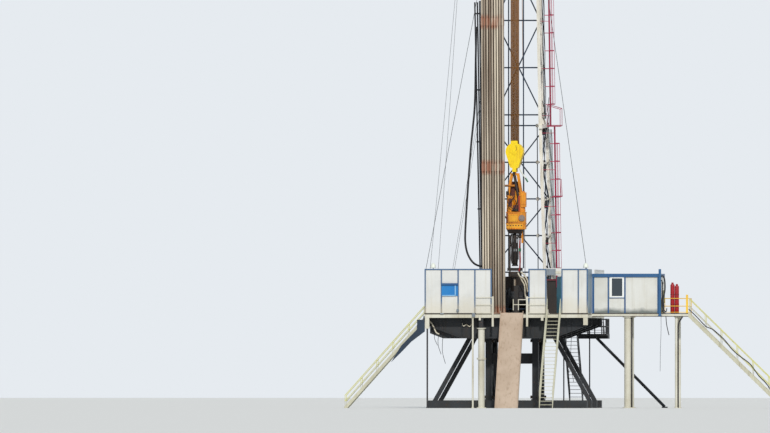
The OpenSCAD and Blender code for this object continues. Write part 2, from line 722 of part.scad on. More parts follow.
// Right side face of a section: two chords, levels and diagonals; the rear chord stands further out by splay
module side_face(w0, w1, z0, z1, d, levels, splay = 0) {
    chord(w0, w1, z0, z1, -d);
    chord(w0 + splay, w1 + splay, z0, z1, d);
    for (z = levels) {
        w = on_line(z, z0, w0, z1, w1);
        bar([w, -d, z], [w + splay, d, z], brace_t);
    }
    for (i = [0:len(levels) - 2]) {
        za = levels[i];
        zb = levels[i + 1];
        s = i % 2 == 0 ? 1 : -1;
        bar([on_line(za, z0, w0, z1, w1) + (s > 0 ? 0 : splay), -s * d, za],
            [on_line(zb, z0, w0, z1, w1) + (s > 0 ? splay : 0), s * d, zb], brace_t * 0.9);
    }
}

// Back face of a section: levels, and diagonals that cross over two levels at a time from the first one,
// all trimmed to the chords' inner faces
module back_face(w0, w1, z0, z1, d, levels, first) {
    inner0 = w0 - chord_t / 2 - seat;
    inner1 = w1 - chord_t / 2 - seat;
    intersection() {
        union() {
            for (z = levels) block([-w0, d - brace_t / 2, z - brace_t / 2], [w0, d + brace_t / 2, z + brace_t / 2]);
            for (i = [first:2:len(levels) - 3]) {
                za = levels[i];
                zb = levels[i + 2];
                wa = on_line(za, z0, w0, z1, w1);
                wb = on_line(zb, z0, w0, z1, w1);
                for (s = [-1, 1]) bar([-s * wa, d, za], [s * wb, d, zb], brace_t * 0.9);
            }
        }
        along_y(d - chord_t, d + chord_t) polygon([[-inner0, z0], [inner0, z0], [inner1, z1], [-inner1, z1]]);
    }
}

// Right side of the lower section, with its shoes on the floor and its head beam
module lower_side() {
    head = chord_t / 2 - 4;
    in_mast() {
        side_face(lower_w0, lower_w1, 60, lower_l, lower_d, lower_levels, lower_splay);
        translate([0, 0, lower_l - 110]) linear_extrude(110) polygon([[lower_w1 - head, -lower_d - 130],
            [lower_w1 + 75, -lower_d - 130], [lower_w1 + lower_splay + 75, lower_d + 110],
            [lower_w1 + lower_splay - head, lower_d + 110], [lower_w1 + lower_splay - head, upper_d + 105],
            [lower_w1 - head, upper_d + 105]]);
    }
    for (s = [-1, 1]) translate([lower_w0 + (s > 0 ? lower_splay : 0), mast_y + s * lower_d, floor_z]) {
        block([-120, -120, 0], [120, 120, 30]);
        block([-80, -90, 0], [80, 90, 150]);
    }
}

// Right side of the upper section, standing on the head beam, with gussets at its foot
module upper_side() in_mast() {
    side_face(upper_w0, upper_w1, lower_l + seat, mast_l, upper_d, upper_levels);
    block([upper_w0 - 70, -upper_d - 70, lower_l + seat], [upper_w0 + 70, upper_d + 70, lower_l + 40]);
    for (s = [-1, 1]) along_y(s * upper_d - 12, s * upper_d + 12) polygon([[upper_w0 + 40, lower_l + 20],
        [lower_w1 + 110, lower_l + 20], [lower_w1 + 110, lower_l + 60], [upper_w0 + 44, lower_l + 280]]);
}

module mast_lower_right() color(mast_white) lower_side();
module mast_lower_left() color(mast_white) mirror([1, 0, 0]) lower_side();
module mast_lower_back() color(navy) in_mast() {
    back_face(lower_w0 + lower_splay, lower_w1 + lower_splay, 60, lower_l, lower_d, lower_levels, 1);
    // Upright beside the guide rails
    block([580, lower_d - 14, lower_levels[1]], [608, lower_d + 14, lower_levels[5]]);
}
module mast_upper_right() color(mast_white) upper_side();
module mast_upper_left() color(mast_white) mirror([1, 0, 0]) upper_side();
module mast_upper_back() color(navy) in_mast() back_face(upper_w0, upper_w1, lower_l, mast_l, upper_d, upper_levels, 0);

// The crown stands level, so that its sheaves hang the lines straight down
crown_y = mast_y - mast_l * sin(mast_lean);
crown_z = floor_z + mast_l * cos(mast_lean);
crown_beam_z = crown_z + 60;
sheave_z = crown_beam_z + 420;

module crown_block() color(mast_white) {
    difference() {
        translate([0, crown_y, 0]) block([-upper_w1 - 120, -upper_d - 180, crown_beam_z - 10], [upper_w1 + 120, upper_d + 120, crown_beam_z + 110]);
        block([-260, -sheave_r - 60, crown_beam_z - 60], [260, sheave_r + 60, crown_beam_z + 200]);
    }
    // Bearing plates and their ties
    for (s = [-1, 1]) {
        along_x(s * 230 - 20, s * 230 + 20) polygon([[-320, crown_beam_z + 100], [320, crown_beam_z + 100], [90, sheave_z + 80], [-90, sheave_z + 80]]);
        in_mast() for (y = [-upper_d, upper_d])
            block([s * upper_w1 - 60, y - 60, mast_l + seat], [s * upper_w1 + 60, y + 60, mast_l + 85]);
    }
    // Bumper beams and rail round the crown
    translate([0, crown_y - 30, crown_beam_z + 100]) railing([[-700, -440], [700, -440], [700, 420], [-700, 420], [-700, -440]], 450);
    block([-560, crown_y - 520, crown_beam_z + 100], [-500, crown_y + 440, crown_beam_z + 160]);
    block([500, crown_y - 520, crown_beam_z + 100], [560, crown_y + 440, crown_beam_z + 160]);
}

// Grooved sheave about the X axis
module sheave(t) rotate([0, 90, 0]) rotate_extrude() polygon([[0, -t / 2], [sheave_r + line_d / 2, -t / 2],
    [sheave_r - line_d / 2 - seat, -4], [sheave_r - line_d / 2 - seat, 4], [sheave_r + line_d / 2, t / 2], [0, t / 2]]);

module sheave_cluster(z, gap) translate([0, 0, z]) {
    for (i = [0:line_parts - 1]) translate([(i - (line_parts - 1) / 2) * line_pitch, 0, 0])
        sheave(line_pitch - 8);
    rotate([0, 90, 0]) cylinder(d = 110, h = gap, center = true);
}

module crown_sheaves() color(steel_grey) sheave_cluster(sheave_z, 420 - 2 * seat);

// Monkey board at racking height: arms from the mast, fingers beside a diving board
board_z = 16100;
board_w = upper_w((board_z - floor_z) / cos(mast_lean));
module racking_board() color(navy) {
    leg_front = chord_front(board_z + 80, upper_d) - seat;
    w = board_w;
    inner_x = 165;
    y_in = -480;
    y_out = -2050;
    translate([0, 0, board_z]) {
        // Arms from the mast, outer arms past the stands, and inner beams
        for (s = [-1, 1]) {
            block([s * (w + 20) - 40, y_in - 60, 0], [s * (w + 20) + 40, leg_front, 80]);
            block([s * 1650 - 30, y_out, 0], [s * 1650 + 30, y_in, 80]);
            block([min(s * w, s * 1650), y_in - 60, 0], [max(s * w, s * 1650), y_in, 80]);
        }
        block([-1680, y_out - 60, 0], [1680, y_out, 80]);
        // Fingers between the rows of stands, and the diving board
        for (s = [-1, 1], i = [0:stand_rows]) {
            y = -stands_y - (i - 0.5) * stand_row_pitch;
            block([s < 0 ? -1650 : inner_x, y - 9, 10], [s < 0 ? -inner_x : 1650, y + 9, 60]);
        }
        block([-110, y_out, 10], [110, y_in - 120, 50]);
        for (s = [-1, 1]) block([s * inner_x - 20, y_out, 0], [s * inner_x + 20, y_in - 400, 80]);
        for (y = [y_out + 60, y_in - 430]) block([-inner_x, y, 0], [inner_x, y + 40, 60]);
        // Rail round the outside
        translate([0, 0, 70]) railing([[-1650, y_in - 30], [-1650, y_out - 30], [1650, y_out - 30], [1650, y_in - 30]], 520);
    }
}

// Racked stands on their mat: pipes with tool joints, leaning to the left
module stand() {
    cylinder(d = pipe_d, h = 3 * pipe_l);
    for (i = [0:3]) translate([0, 0, max(0, i * pipe_l - 120)]) cylinder(d = joint_d, h = i == 0 ? 150 : i == 3 ? 120 : 240);
}

module pipe_stands() color("#8a7768") {
    first = -stands_x - (stands_across - 1) / 2 * stand_pitch;
    for (r = [0:stand_rows - 1], i = [0:stands_across - 1])
        translate([first + i * stand_pitch, -stands_y - r * stand_row_pitch, floor_z + 30])
            rotate([0, -stand_lean, 0]) stand();
    block([first - 90, -stands_y - stand_rows * stand_row_pitch - 20, floor_z],
        [-stands_x * 2 - first + 90, -stands_y + 90, floor_z + 40]);
}

// Caged ladder beside the right leg: a run for each section, with rest platforms
ladder_lower_x = [1300, 1255];
ladder_upper_x = [1110, 1010];
ladder_w = 210;
hoop_pitch = 585;
module mast_ladder() color("#a8244a") in_mast() {
    z0 = 900;
    z_rest = lower_l - 50;
    z_top = mast_l - 100;
    y_lower = -lower_d + ladder_w / 2;
    y_upper = -upper_d + ladder_w / 2;
    ladder_run(ladder_lower_x, z0, z_rest + 20, y_lower, 613);
    ladder_run(ladder_upper_x, z_rest + 10, z_top, y_upper, 700);
    for (z = [z0 + 250:lower_pitch:lower_l - 200])
        stand_off(lower_w(z), on_line(z, z0, ladder_lower_x[0], z_rest, ladder_lower_x[1]), z, -lower_d);
    for (z = [lower_l + 300:upper_pitch:z_top])
        stand_off(upper_w(z), on_line(z, z_rest, ladder_upper_x[0], z_top, ladder_upper_x[1]), z, -upper_d);
    // Rest platform at the head of the lower section, its rail falling away from the mast
    translate([0, y_lower, z_rest]) {
        rest_plate(1015, 1475, -230, 420, ladder_lower_x[1]);
        for (y = [-215, 405]) {
            bar([1460, y, 10], [1460, y, 573], rail_d * 0.9, 6);
            bar([1460, y, 573], [1030, y, 700], rail_d, 8);
            bar([1030, y, 10], [1030, y, 700], rail_d * 0.9, 6);
        }
        bar([1460, -215, 573], [1460, 405, 573], rail_d, 8);
    }
    // Rest platform halfway up the lower section
    translate([0, y_lower, 3870]) {
        rest_plate(1190, 1490, -190, 190, 1275);
        for (y = [-175, 175]) bar([1475, y, 10], [1445, y, 570], rail_d * 0.9, 6);
        bar([1445, -175, 570], [1445, 175, 570], rail_d, 8);
    }
}

// Plate with a hatch beside the ladder that comes up through it at x
module rest_plate(x0, x1, y0, y1, x) difference() {
    block([x0, y0, 0], [x1, y1, 30]);
    block([x + 14, -95, -10], [x + 150, 95, 40]);
}

// Bracket from a chord's outer face to the ladder's near stile at x
module stand_off(w, x, z, y) block([w + chord_t / 2 + seat + 0.4, y - 8, z - 8], [x, y + 8, z + 8]);

// Half ring with straight ends back to the stiles
module hoop_outline(r_in, r_out, stile) {
    difference() {
        circle(r = r_out);
        circle(r = r_in);
        translate([-2 * r_out, -2 * r_out]) square([2 * r_out, 4 * r_out]);
    }
    for (s = [-1, 1]) translate([-6, s > 0 ? stile - 6 : -r_out]) square([12, r_out - stile + 6]);
}

// Ladder from x[0] at za to x[1] at zb in the mast's frame, with stubs towards the mast and a hoop cage
module ladder_run(x_ends, za, zb, y, first_hoop) {
    w = ladder_w;
    rung = 150;
    xa = x_ends[0];
    xb = x_ends[1];
    for (s = [-1, 1]) bar([xa, y + s * w / 2, za], [xb, y + s * w / 2, zb], 20);
    for (i = [1:floor((zb - za) / rung) - 1]) {
        z = za + i * rung;
        x = on_line(z, za, xa, zb, xb);
        block([x - 6, y - w / 2, z - 6], [x + 6, y + w / 2, z + 6]);
    }
    hoops = floor((zb - za - first_hoop - 40) / hoop_pitch);
    for (i = [0:hoops]) {
        z = za + first_hoop + i * hoop_pitch;
        x = on_line(z, za, xa, zb, xb);
        translate([x, y, z]) {
            linear_extrude(30) hoop_outline(150, 160, w / 2);
            block([-150, -w / 2 - 6, 0], [0, -w / 2 + 6, 24]);
        }
    }
    z_hoop = za + first_hoop + hoops * hoop_pitch + 30;
    x_hoop = on_line(z_hoop, za, xa, zb, xb);
    x_first = on_line(za + first_hoop, za, xa, zb, xb);
    for (a = [-60, 0, 60]) bar([x_first + 155 * cos(a), y + 155 * sin(a), za + first_hoop],
        [x_hoop + 155 * cos(a), y + 155 * sin(a), z_hoop], 14);
}

// Rails that guide the top drive, bracketed back to the mast's levels
module guide_rails() color(steel_grey) {
    z0 = floor_z + 1500;
    z1 = crown_beam_z - 10 - seat;
    bracket = 30;
    for (s = [-1, 1]) {
        translate([s * guide_x, guide_y, z0]) cylinder(d = guide_d, h = z1 - z0);
        for (section = [[lower_d, lower_levels], [upper_d, upper_levels]]) {
            y_m = section[0] - brace_t / 2;
            for (z_m = section[1]) {
                y = mast_y + y_m * cos(mast_lean) - z_m * sin(mast_lean);
                z = floor_z + y_m * sin(mast_lean) + z_m * cos(mast_lean);
                if (z > z0 + 100) block([s * guide_x - 12, guide_y, z - bracket / 2],
                    [s * guide_x + 12, y - bracket / 2 * tan(mast_lean) - seat, z + bracket / 2]);
            }
        }
    }
}

// Front of the mast's chords at a height, for a section of half depth d
function chord_front(z, d) = mast_y - (z - floor_z) * tan(mast_lean) - (d + chord_t / 2) / cos(mast_lean);

standpipe_foot = [-1112, 430];
standpipe_head = [-1275, 330];
standpipe_z1 = 13300;
standpipe_d = 50;
lower_arms = [6500, 8700];
upper_arms = [10400, 12900];
gooseneck = [-1275, -60, 12300];

// Standpipe and kill pipe side by side, arms to the left leg, and the gooseneck that the hose hangs from
module standpipe() color("#26262a") {
    for (i = [0, 1]) bar([standpipe_foot.x - i * 54, standpipe_foot.y, floor_z + 2 * seat],
        [standpipe_head.x - i * 84, standpipe_head.y, standpipe_z1], standpipe_d, 16);
    for (z = lower_arms) standpipe_arm(z, lower_d, lower_w((z - floor_z) / cos(mast_lean)));
    for (z = upper_arms) standpipe_arm(z, upper_d, upper_w((z - floor_z) / cos(mast_lean)));
    // Gooseneck: forward from the standpipe and down
    y = on_line(gooseneck.z, floor_z, standpipe_foot.y, standpipe_z1, standpipe_head.y);
    translate([gooseneck.x, y, gooseneck.z + 160]) rotate([90, 0, 0]) cylinder(d = 70, h = y - gooseneck.y - 90);
    translate([gooseneck.x, gooseneck.y + 90, gooseneck.z + 70]) rotate([0, -90, 0]) rotate([0, 0, -90])
        rotate_extrude(angle = 90) translate([90, 0]) circle(d = 70);
    translate(gooseneck) cylinder(d = 84, h = 72);
}

module standpipe_arm(z, d, w) {
    x0 = on_line(z, floor_z, standpipe_foot.x, standpipe_z1, standpipe_head.x) - 110;
    y = on_line(z, floor_z, standpipe_foot.y, standpipe_z1, standpipe_head.y);
    y_leg = chord_front(z, d) + chord_t / 2;
    block([x0, y - 14, z], [x0 + 180, y + 14, z + 50]);
    block([x0 + 140, min(y - 14, y_leg - 14), z], [x0 + 180, max(y + 14, y_leg + 14), z + 50]);
    block([x0 + 140, y_leg - 14, z], [-w - chord_t / 2 - 1, y_leg + 14, z + 50]);
}

// Route of the rotary hose, from the gooseneck down, round its loop and up to the top drive
hose_d = 66;
hose_end = [-430, -60, 7130];
hose_route = [gooseneck - [0, 0, 2 * seat], [-1277, -60, 12000], [-1290, -60, 11200], [-1302, -60, 10400], [-1325, -60, 9800],
    [-1375, -60, 9250], [-1440, -60, 8600], [-1495, -60, 7900], [-1545, -60, 7200], [-1590, -60, 6500],
    [-1625, -60, 5900], [-1632, -60, 5450], [-1560, -60, 5070], [-1390, -60, 4780], [-1165, -60, 4655],
    [-930, -60, 4690], [-730, -60, 4870], [-600, -60, 5170], [-530, -60, 5600], [-480, -60, 6100],
    [-445, -60, 6600], [-431, -60, 6950], hose_end - [0, 0, 2 * seat]];
function smooth(p, i, t) = let (n = len(p) - 1, a = p[max(i - 1, 0)], b = p[i], c = p[i + 1], d = p[min(i + 2, n)])
    0.5 * (2 * b + (c - a) * t + (2 * a - 5 * b + 4 * c - d) * t * t + (3 * b - a - 3 * c + d) * t * t * t);
hose_steps = 3;
hose_line = [for (i = [0:len(hose_route) - 2], k = [0:hose_steps - 1]) smooth(hose_route, i, k / hose_steps),
    hose_route[len(hose_route) - 1]];

// Round tube swept along a line that keeps to one plane across Y
module tube(line, d, sides) {
    n = len(line);
    dirs = [for (i = [0:n - 1]) line[min(i + 1, n - 1)] - line[max(i - 1, 0)]];
    points = [for (i = [0:n - 1], k = [0:sides - 1])
        let (t = dirs[i] / norm(dirs[i]), across = cross(t, [0, 1, 0]), a = 360 * k / sides)
        line[i] + d / 2 * (cos(a) * across / norm(across) + sin(a) * [0, 1, 0])];
    walls = [for (i = [0:n - 2], k = [0:sides - 1]) let (j = (k + 1) % sides)
        [i * sides + k, (i + 1) * sides + k, (i + 1) * sides + j, i * sides + j]];
    ends = [[for (k = [0:sides - 1]) k], [for (k = [sides - 1:-1:0]) (n - 1) * sides + k]];
    polyhedron(points, concat(walls, ends));
}

module rotary_hose() color("#1a1a1e") tube(hose_line, hose_d, 8);

// Guys from the racking board's arms down to the front corners of the floor's walls
module guy_lines() color("#3a3a3a") for (s = [-1, 1])
    bar([s * (half_w - 40), -floor_front + 18, floor_z + wall_h + 2.5], [s * (board_w + 20), -120, board_z - 2.5], 16, 8);

axle_z = block_top - 355;
module drilling_line() color("#7a4a20") {
    z0 = axle_z + 4;
    z1 = sheave_z - 4;
    for (s = [-1, 1], i = [0:line_parts - 1])
        translate([(i - (line_parts - 1) / 2) * line_pitch, s * sheave_r, z0]) cylinder(d = line_d, h = z1 - z0);
}

// Outline of the block from the front: lug for the hook, taper, round shoulders about the axle, rounded cap
block_outline = mirrored(concat([[65, 0], [65, 120], [132, 140]], arc([0, block_h - 355], block_w / 2, -22, 62),
    [[115, block_h - 95]], arc([80, block_h - 35], 35, 0, 90, 4)));

// Travelling block: two guard plates on cheek bodies, with the sheaves between them
module travelling_block() color(block_yellow) {
    guard = 18;
    slot_x = 150;
    translate([0, 0, block_top - block_h]) {
        for (y = [-block_d / 2, block_d / 2 - guard]) along_y(y, y + guard) polygon(block_outline);
        difference() {
            along_y(-block_d / 2 + guard / 2, block_d / 2 - guard / 2) polygon(block_outline);
            block([-slot_x, -block_d / 2 + guard, block_h - 355 - sheave_r - 25], [slot_x, block_d / 2 - guard, block_h + 10]);
            // Lightened neck between the guard plates
            for (s = [-1, 1]) block([-400, s > 0 ? 60 : -block_d, -10], [400, s > 0 ? block_d : -60, 130]);
        }
    }
    sheave_cluster(axle_z, 400);
    // Axle bosses on both guard plates
    for (s = [-1, 1]) translate([0, s * (block_d / 2 + 4), axle_z]) rotate([90, 0, 0]) {
        cylinder(d = 190, h = 24, center = true);
        cylinder(d = 80, h = 42, center = true);
    }
}
block_yellow = "#f2cf13";

hook_z = block_top - block_h;
drive_x0 = -275;
drive_x1 = 355;
gear_z0 = 5850;
gear_z1 = 6420;

// Gear case: chamfered front corners, flanges, and a skirt pierced by round holes
module gear_case() {
    chamfer = 70;
    front = -230;
    rear = 200;
    skirt_h = 175;
    outline = [[drive_x0, front + chamfer], [drive_x0 + chamfer, front], [drive_x1 - chamfer, front],
        [drive_x1, front + chamfer], [drive_x1, rear], [drive_x0, rear]];
    difference() {
        translate([0, 0, gear_z0]) linear_extrude(gear_z1 - gear_z0) polygon(outline);
        for (i = [0:5]) translate([drive_x0 + 110 + i * 82, front - 10, gear_z0 + skirt_h / 2]) rotate([-90, 0, 0])
            cylinder(d = 54, h = 50);
    }
    for (z = [gear_z0 + skirt_h, gear_z1 - 26]) translate([0, 0, z]) linear_extrude(26) offset(delta = 12) polygon(outline);
    // Round cover of the brake on the right of the front
    translate([drive_x1 - 105, front + 10, gear_z0 + 370]) rotate([90, 0, 0]) {
        cylinder(d = 200, h = 50);
        cylinder(d = 120, h = 66);
    }
}

// Upright motor with its fan hood
module drive_motor(x, d, h) translate([x, 0, gear_z1 - 5]) {
    cylinder(d = d, h = h);
    for (z = [40, h - 60]) translate([0, 0, z]) cylinder(d = d + 24, h = 24);
    translate([0, 0, h - 1]) cylinder(d1 = d * 0.9, d2 = d * 0.6, h = 70);
}

// Top drive: hook and legs, motors, gear case, collar, pipe handler and guide shoes
module top_drive() color("#e08a17") {
    gear_case();
    drive_motor(-120, 250, 470);
    drive_motor(205, 270, 580);
    translate([55, 0, gear_z1 - 5]) cylinder(d = 120, h = 700);
    // Blower box on the right motor
    block([215, -165, gear_z1 + 160], [368, 120, gear_z1 + 640]);
    block([235, -185, gear_z1 + 240], [348, -150, gear_z1 + 560]);
    // Legs that spread from the hook down to the gear case
    for (s = [-1, 1]) {
        along_y(-70, 70) polygon([[s * 60, hook_z - 110], [s * 60, hook_z - 40], [s * 140, hook_z - 40],
            [s * 262, hook_z - 760], [s * 270, gear_z1 - 40], [s * 185, gear_z1 - 40], [s * 178, hook_z - 760]]);
        for (z = [gear_z0 + 60, gear_z1 + 480]) block([s * guide_x - 55, 55, z],
            [s * guide_x + 55, guide_y - guide_d / 2 - run_gap, z + 200]);
    }
    block([-110, -60, hook_z - 110], [110, 60, hook_z - 40]);
    for (s = [-1, 1]) block([-40, s * 45 - 15, hook_z - 50], [40, s * 45 + 15, hook_z - seat]);
    // Collar under the gear case
    translate([0, 0, gear_z0 - 135]) cylinder(d1 = 430, d2 = 560, h = 140);
    // Ears and pins that the links hang from
    for (s = [-1, 1]) translate([s * link_x, 0, 0]) {
        for (x = [-1, 1]) block([x * 38 - 7, -35, link_pivot_z - 40], [x * 38 + 7, 35, gear_z0 - 130]);
        translate([-40, 0, link_pivot_z]) rotate([0, 90, 0]) cylinder(d = link_pin_d, h = 80);
    }
    // Pipe handler: two plates down behind the quill, and the grabber round the pipe
    difference() {
        union() {
            for (x = [-95, 71]) block([x, 60, 4880], [x + 24, 120, gear_z0 - 130]);
            block([-112, -120, 4860], [112, 130, 5130]);
        }
        translate([0, 0, 4850]) cylinder(d = 100, h = 300);
        for (z = [4945, 5035]) block([-130, -130, z], [130, -40, z + 14]);
    }
    // Gooseneck that the hose comes up to
    translate([hose_end.x, hose_end.y, hose_end.z]) cylinder(d = 84, h = 60);
    translate([hose_end.x + 90, hose_end.y, hose_end.z + 60]) rotate([90, 0, 0]) rotate([0, 0, 90])
        rotate_extrude(angle = 90) translate([90, 0]) circle(d = 70);
    translate([hose_end.x + 90, hose_end.y, hose_end.z + 150]) rotate([0, 90, 0]) cylinder(d = 70, h = 345);
}

quill_z = 5715;
module quill() color("#8a7768") translate([0, 0, quill_z - 500]) {
    cylinder(d = 110, h = 500 - seat);
    cylinder(d = 140, h = 200);
}

link_pivot_z = 5600;
link_x = 165;
link_pin_d = 44;
module elevator_links() color(steel_grey) {
    for (s = [-1, 1]) translate([s * link_x, 0, 0]) {
        bar([0, 0, 4400], [0, 0, link_pivot_z - 35], 50, 8);
        translate([0, 0, link_pivot_z]) rotate([0, 90, 0]) difference() {
            cylinder(d = 92, h = 50, center = true);
            cylinder(d = link_pin_d + 0.1, h = 60, center = true);
        }
    }
    difference() {
        translate([0, 0, 4300]) cylinder(d = 360, h = 160);
        translate([0, 0, 4290]) cylinder(d = 90, h = 200);
    }
}

// Drawworks: flanged drum between side frames, with its motor and brake
module drawworks() color("#2a2f38") translate([0, floor_back - 430, floor_z]) {
    drum_z = 520;
    block([-800, -370, 0], [800, 370, 90]);
    for (x = [-430, 430]) along_x(x - 18, x + 18) polygon([[-330, 80], [330, 80], [330, 560], [180, 900], [-180, 900], [-330, 560]]);
    translate([-420, 0, drum_z]) rotate([0, 90, 0]) rotate_extrude() polygon([[0, 0], [330, 0], [330, 40], [230, 70],
        [230, 770], [330, 800], [330, 840], [0, 840]]);
    // Motor and gear box on the right, disc brake on the left
    translate([440, 0, drum_z]) rotate([0, 90, 0]) cylinder(d = 460, h = 330);
    block([460, -200, 80], [740, 200, 330]);
    block([500, -90, drum_z + 200], [660, 90, drum_z + 330]);
    translate([-560, 0, drum_z]) rotate([0, 90, 0]) cylinder(d = 120, h = 140);
    translate([-520, 0, drum_z]) rotate([0, 90, 0]) cylinder(d = 560, h = 36);
    for (s = [-1, 1]) block([-560, s * 240 - 60, 80], [-450, s * 240 + 60, drum_z + 80]);
}

// Iron roughneck: pedestal, arms, and jaws that grip the pipe, with the spinner above them
module iron_roughneck() color(dark) translate([560, -700, floor_z]) {
    cylinder(d = 320, h = 36);
    cylinder(d = 130, h = 860);
    for (z = [380, 600]) translate([0, 0, z]) cylinder(d = 200, h = 90);
    for (z = [425, 645], y = [-60, 60]) bar([0, y, z], [-250, y + 120, z + 90], 44);
    translate([-300, 130, 0]) difference() {
        union() {
            block([-150, -150, 420], [150, 150, 560]);
            block([-150, -150, 590], [150, 150, 730]);
            block([-120, -120, 770], [120, 120, 930]);
            block([60, -100, 410], [140, 100, 940]);
            for (y = [-70, 70]) translate([70, y, 900]) cylinder(d = 90, h = 150);
        }
        // Mouth for the pipe
        block([-200, -60, 400], [20, 60, 960]);
    }
}

// Everything is placed from the plan's middle on the ground
module on_site() translate([-origin_x, -origin_y, 0]) children();

on_site() base_frame();
on_site() substructure_legs();
on_site() floor_girders();
on_site() trip_tank();
on_site() front_columns();
on_site() edge_beam();
on_site() floor_deck();
on_site() rotary_table();
on_site() front_wall_left();
on_site() front_wall_right();
on_site() side_walls();
on_site() rear_walls();
on_site() window_shutter();
on_site() floor_door();
on_site() vdoor_rails();
on_site() vdoor_ramp();
on_site() front_stair();
on_site() left_stair();
on_site() left_stair_brace();
on_site() right_stair();
on_site() rear_stair();
on_site() rear_platform();
on_site() doghouse_platform();
on_site() doghouse_columns();
on_site() doghouse_front_wall();
on_site() doghouse_rear_wall();
on_site() doghouse_end_walls();
on_site() doghouse_roof();
on_site() doghouse_post();
on_site() doghouse_window();
on_site() landing_rail();
on_site() gas_bottles();
on_site() mast_lower_left();
on_site() mast_lower_right();
on_site() mast_lower_back();
on_site() mast_upper_left();
on_site() mast_upper_right();
on_site() mast_upper_back();
on_site() crown_block();
on_site() crown_sheaves();
on_site() racking_board();
on_site() pipe_stands();
on_site() mast_ladder();
on_site() guide_rails();
on_site() standpipe();
on_site() rotary_hose();
on_site() guy_lines();
on_site() drilling_line();
on_site() travelling_block();
on_site() top_drive();
on_site() elevator_links();
on_site() quill();
on_site() drawworks();
on_site() iron_roughneck();
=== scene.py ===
# %% [markdown]
# # A land drilling rig at half scale
# The rig stands on its own box-section base: a dark substructure carries the drill floor, pale steel wind
# walls shelter the crew, and a leaning mast holds the travelling block over the well. The frame loaded here
# is the finished construction, so this lesson only gives it skin: paint, rust, rope, rubber, glass and
# small fittings.

# %% The frame and its measures
import math
from functools import partial

import bpy
import numpy as np
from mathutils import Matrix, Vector


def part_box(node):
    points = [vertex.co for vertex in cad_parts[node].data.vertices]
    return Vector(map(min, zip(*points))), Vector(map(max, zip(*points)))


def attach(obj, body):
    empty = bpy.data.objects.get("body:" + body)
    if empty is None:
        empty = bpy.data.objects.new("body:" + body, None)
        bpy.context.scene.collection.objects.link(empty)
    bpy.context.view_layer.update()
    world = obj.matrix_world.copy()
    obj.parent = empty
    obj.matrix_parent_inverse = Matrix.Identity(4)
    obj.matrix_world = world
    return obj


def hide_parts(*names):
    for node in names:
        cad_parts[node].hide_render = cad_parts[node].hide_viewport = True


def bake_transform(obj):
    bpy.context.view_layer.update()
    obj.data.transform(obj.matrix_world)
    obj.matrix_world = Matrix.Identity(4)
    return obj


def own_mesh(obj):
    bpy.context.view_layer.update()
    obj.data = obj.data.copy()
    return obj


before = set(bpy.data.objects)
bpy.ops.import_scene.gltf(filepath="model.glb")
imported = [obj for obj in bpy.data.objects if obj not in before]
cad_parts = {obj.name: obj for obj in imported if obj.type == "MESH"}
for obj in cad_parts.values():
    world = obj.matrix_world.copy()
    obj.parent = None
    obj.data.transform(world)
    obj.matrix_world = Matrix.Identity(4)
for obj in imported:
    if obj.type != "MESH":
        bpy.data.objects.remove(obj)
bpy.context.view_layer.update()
table_lo, table_hi = (np.array(corner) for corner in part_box("rotary_table"))
well = np.array([*(table_lo + table_hi)[:2] / 2, 0.0])
print("well centre in the frame, metres:", well.round(4))


# %% [markdown]
# Every place below is given from the well centre on the ground, in metres of the model, because a rig is
# set out from its well. One function moves such a point into the frame.

# %% Places from the well centre
def at(*xyz):
    """A point, or rows of points, from the well centre, moved into the frame: p + well."""
    return np.asarray(xyz if len(xyz) > 1 else xyz[0], float) + well


def local_box(node):
    """The lowest and highest corner of a CAD node, from the well centre."""
    low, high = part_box(node)
    return np.array(low) - well, np.array(high) - well


deck_lo, deck_hi = local_box("floor_deck")
floor_z = deck_hi[2]
print("drill floor at", round(float(floor_z), 3), "m")

# The mast leans over the well; its levels are given along its length, in the lower and the upper section
lean = math.radians(3.5)
mast_foot_y = 1.225
lower_l, mast_l = 6.23, 18.9
lower_pitch, upper_pitch = 1.205, 1.55
lower_levels = lower_l - 0.06 - lower_pitch * np.arange(5, -1, -1)
upper_levels = lower_l + 0.3 + upper_pitch * np.arange(8)
lower_depth, upper_depth = 0.475, 0.325  # from the mast's middle to its front and rear chords

# %% [markdown]
# ## The camera
# The photograph looks at the V-door side from several hundred real metres away, a little to the right and
# from eye height, with a long lens that keeps the mast's sides nearly parallel. The scale is set at the
# well, where one pixel is 32.75 mm of the model. The camera turns to look up; it isn't shifted.

# %% Camera
picture_w, picture_h = 770, 433
metres_per_pixel = 0.03275
camera_turn = math.radians(6.0)
camera_distance = 600.0
eye_height = 0.82
well_px, ground_py = 515.0, 408.0

right = np.array([math.cos(camera_turn), math.sin(camera_turn), 0.0])
back = np.array([math.sin(camera_turn), -math.cos(camera_turn), 0.0])
aim = at(right * (picture_w / 2 - well_px) * metres_per_pixel
         + np.array([0, 0, (ground_py - picture_h / 2) * metres_per_pixel]))
eye = at(back * camera_distance + np.array([0, 0, eye_height]))

camera = bpy.data.cameras.new("camera")
camera.sensor_width = 36.0
camera.lens = camera.sensor_width * camera_distance / (picture_w * metres_per_pixel)
camera.clip_start, camera.clip_end = 1.0, 2000.0
camera_object = bpy.data.objects.new("camera", camera)
bpy.context.scene.collection.objects.link(camera_object)
camera_object.location = eye


def turn_towards(obj, target):
    """Points an object's -Z axis at a target, with +Y up."""
    direction = Vector(target) - obj.location
    obj.rotation_euler = direction.to_track_quat("-Z", "Y").to_euler()


turn_towards(camera_object, aim)
bpy.context.scene.camera = camera_object
print("lens", round(camera.lens, 1), "mm")

# %% [markdown]
# ## Shapes from arrays
# A rig is mostly straight steel: boxes, rods, bent tubes and turned parts. Each helper works out all its
# points as one numpy array and returns a shape, which is a pair: the points, and a list of face arrays,
# each with faces of the same number of corners. Shapes can be joined before they become one mesh.

# %% Shape helpers


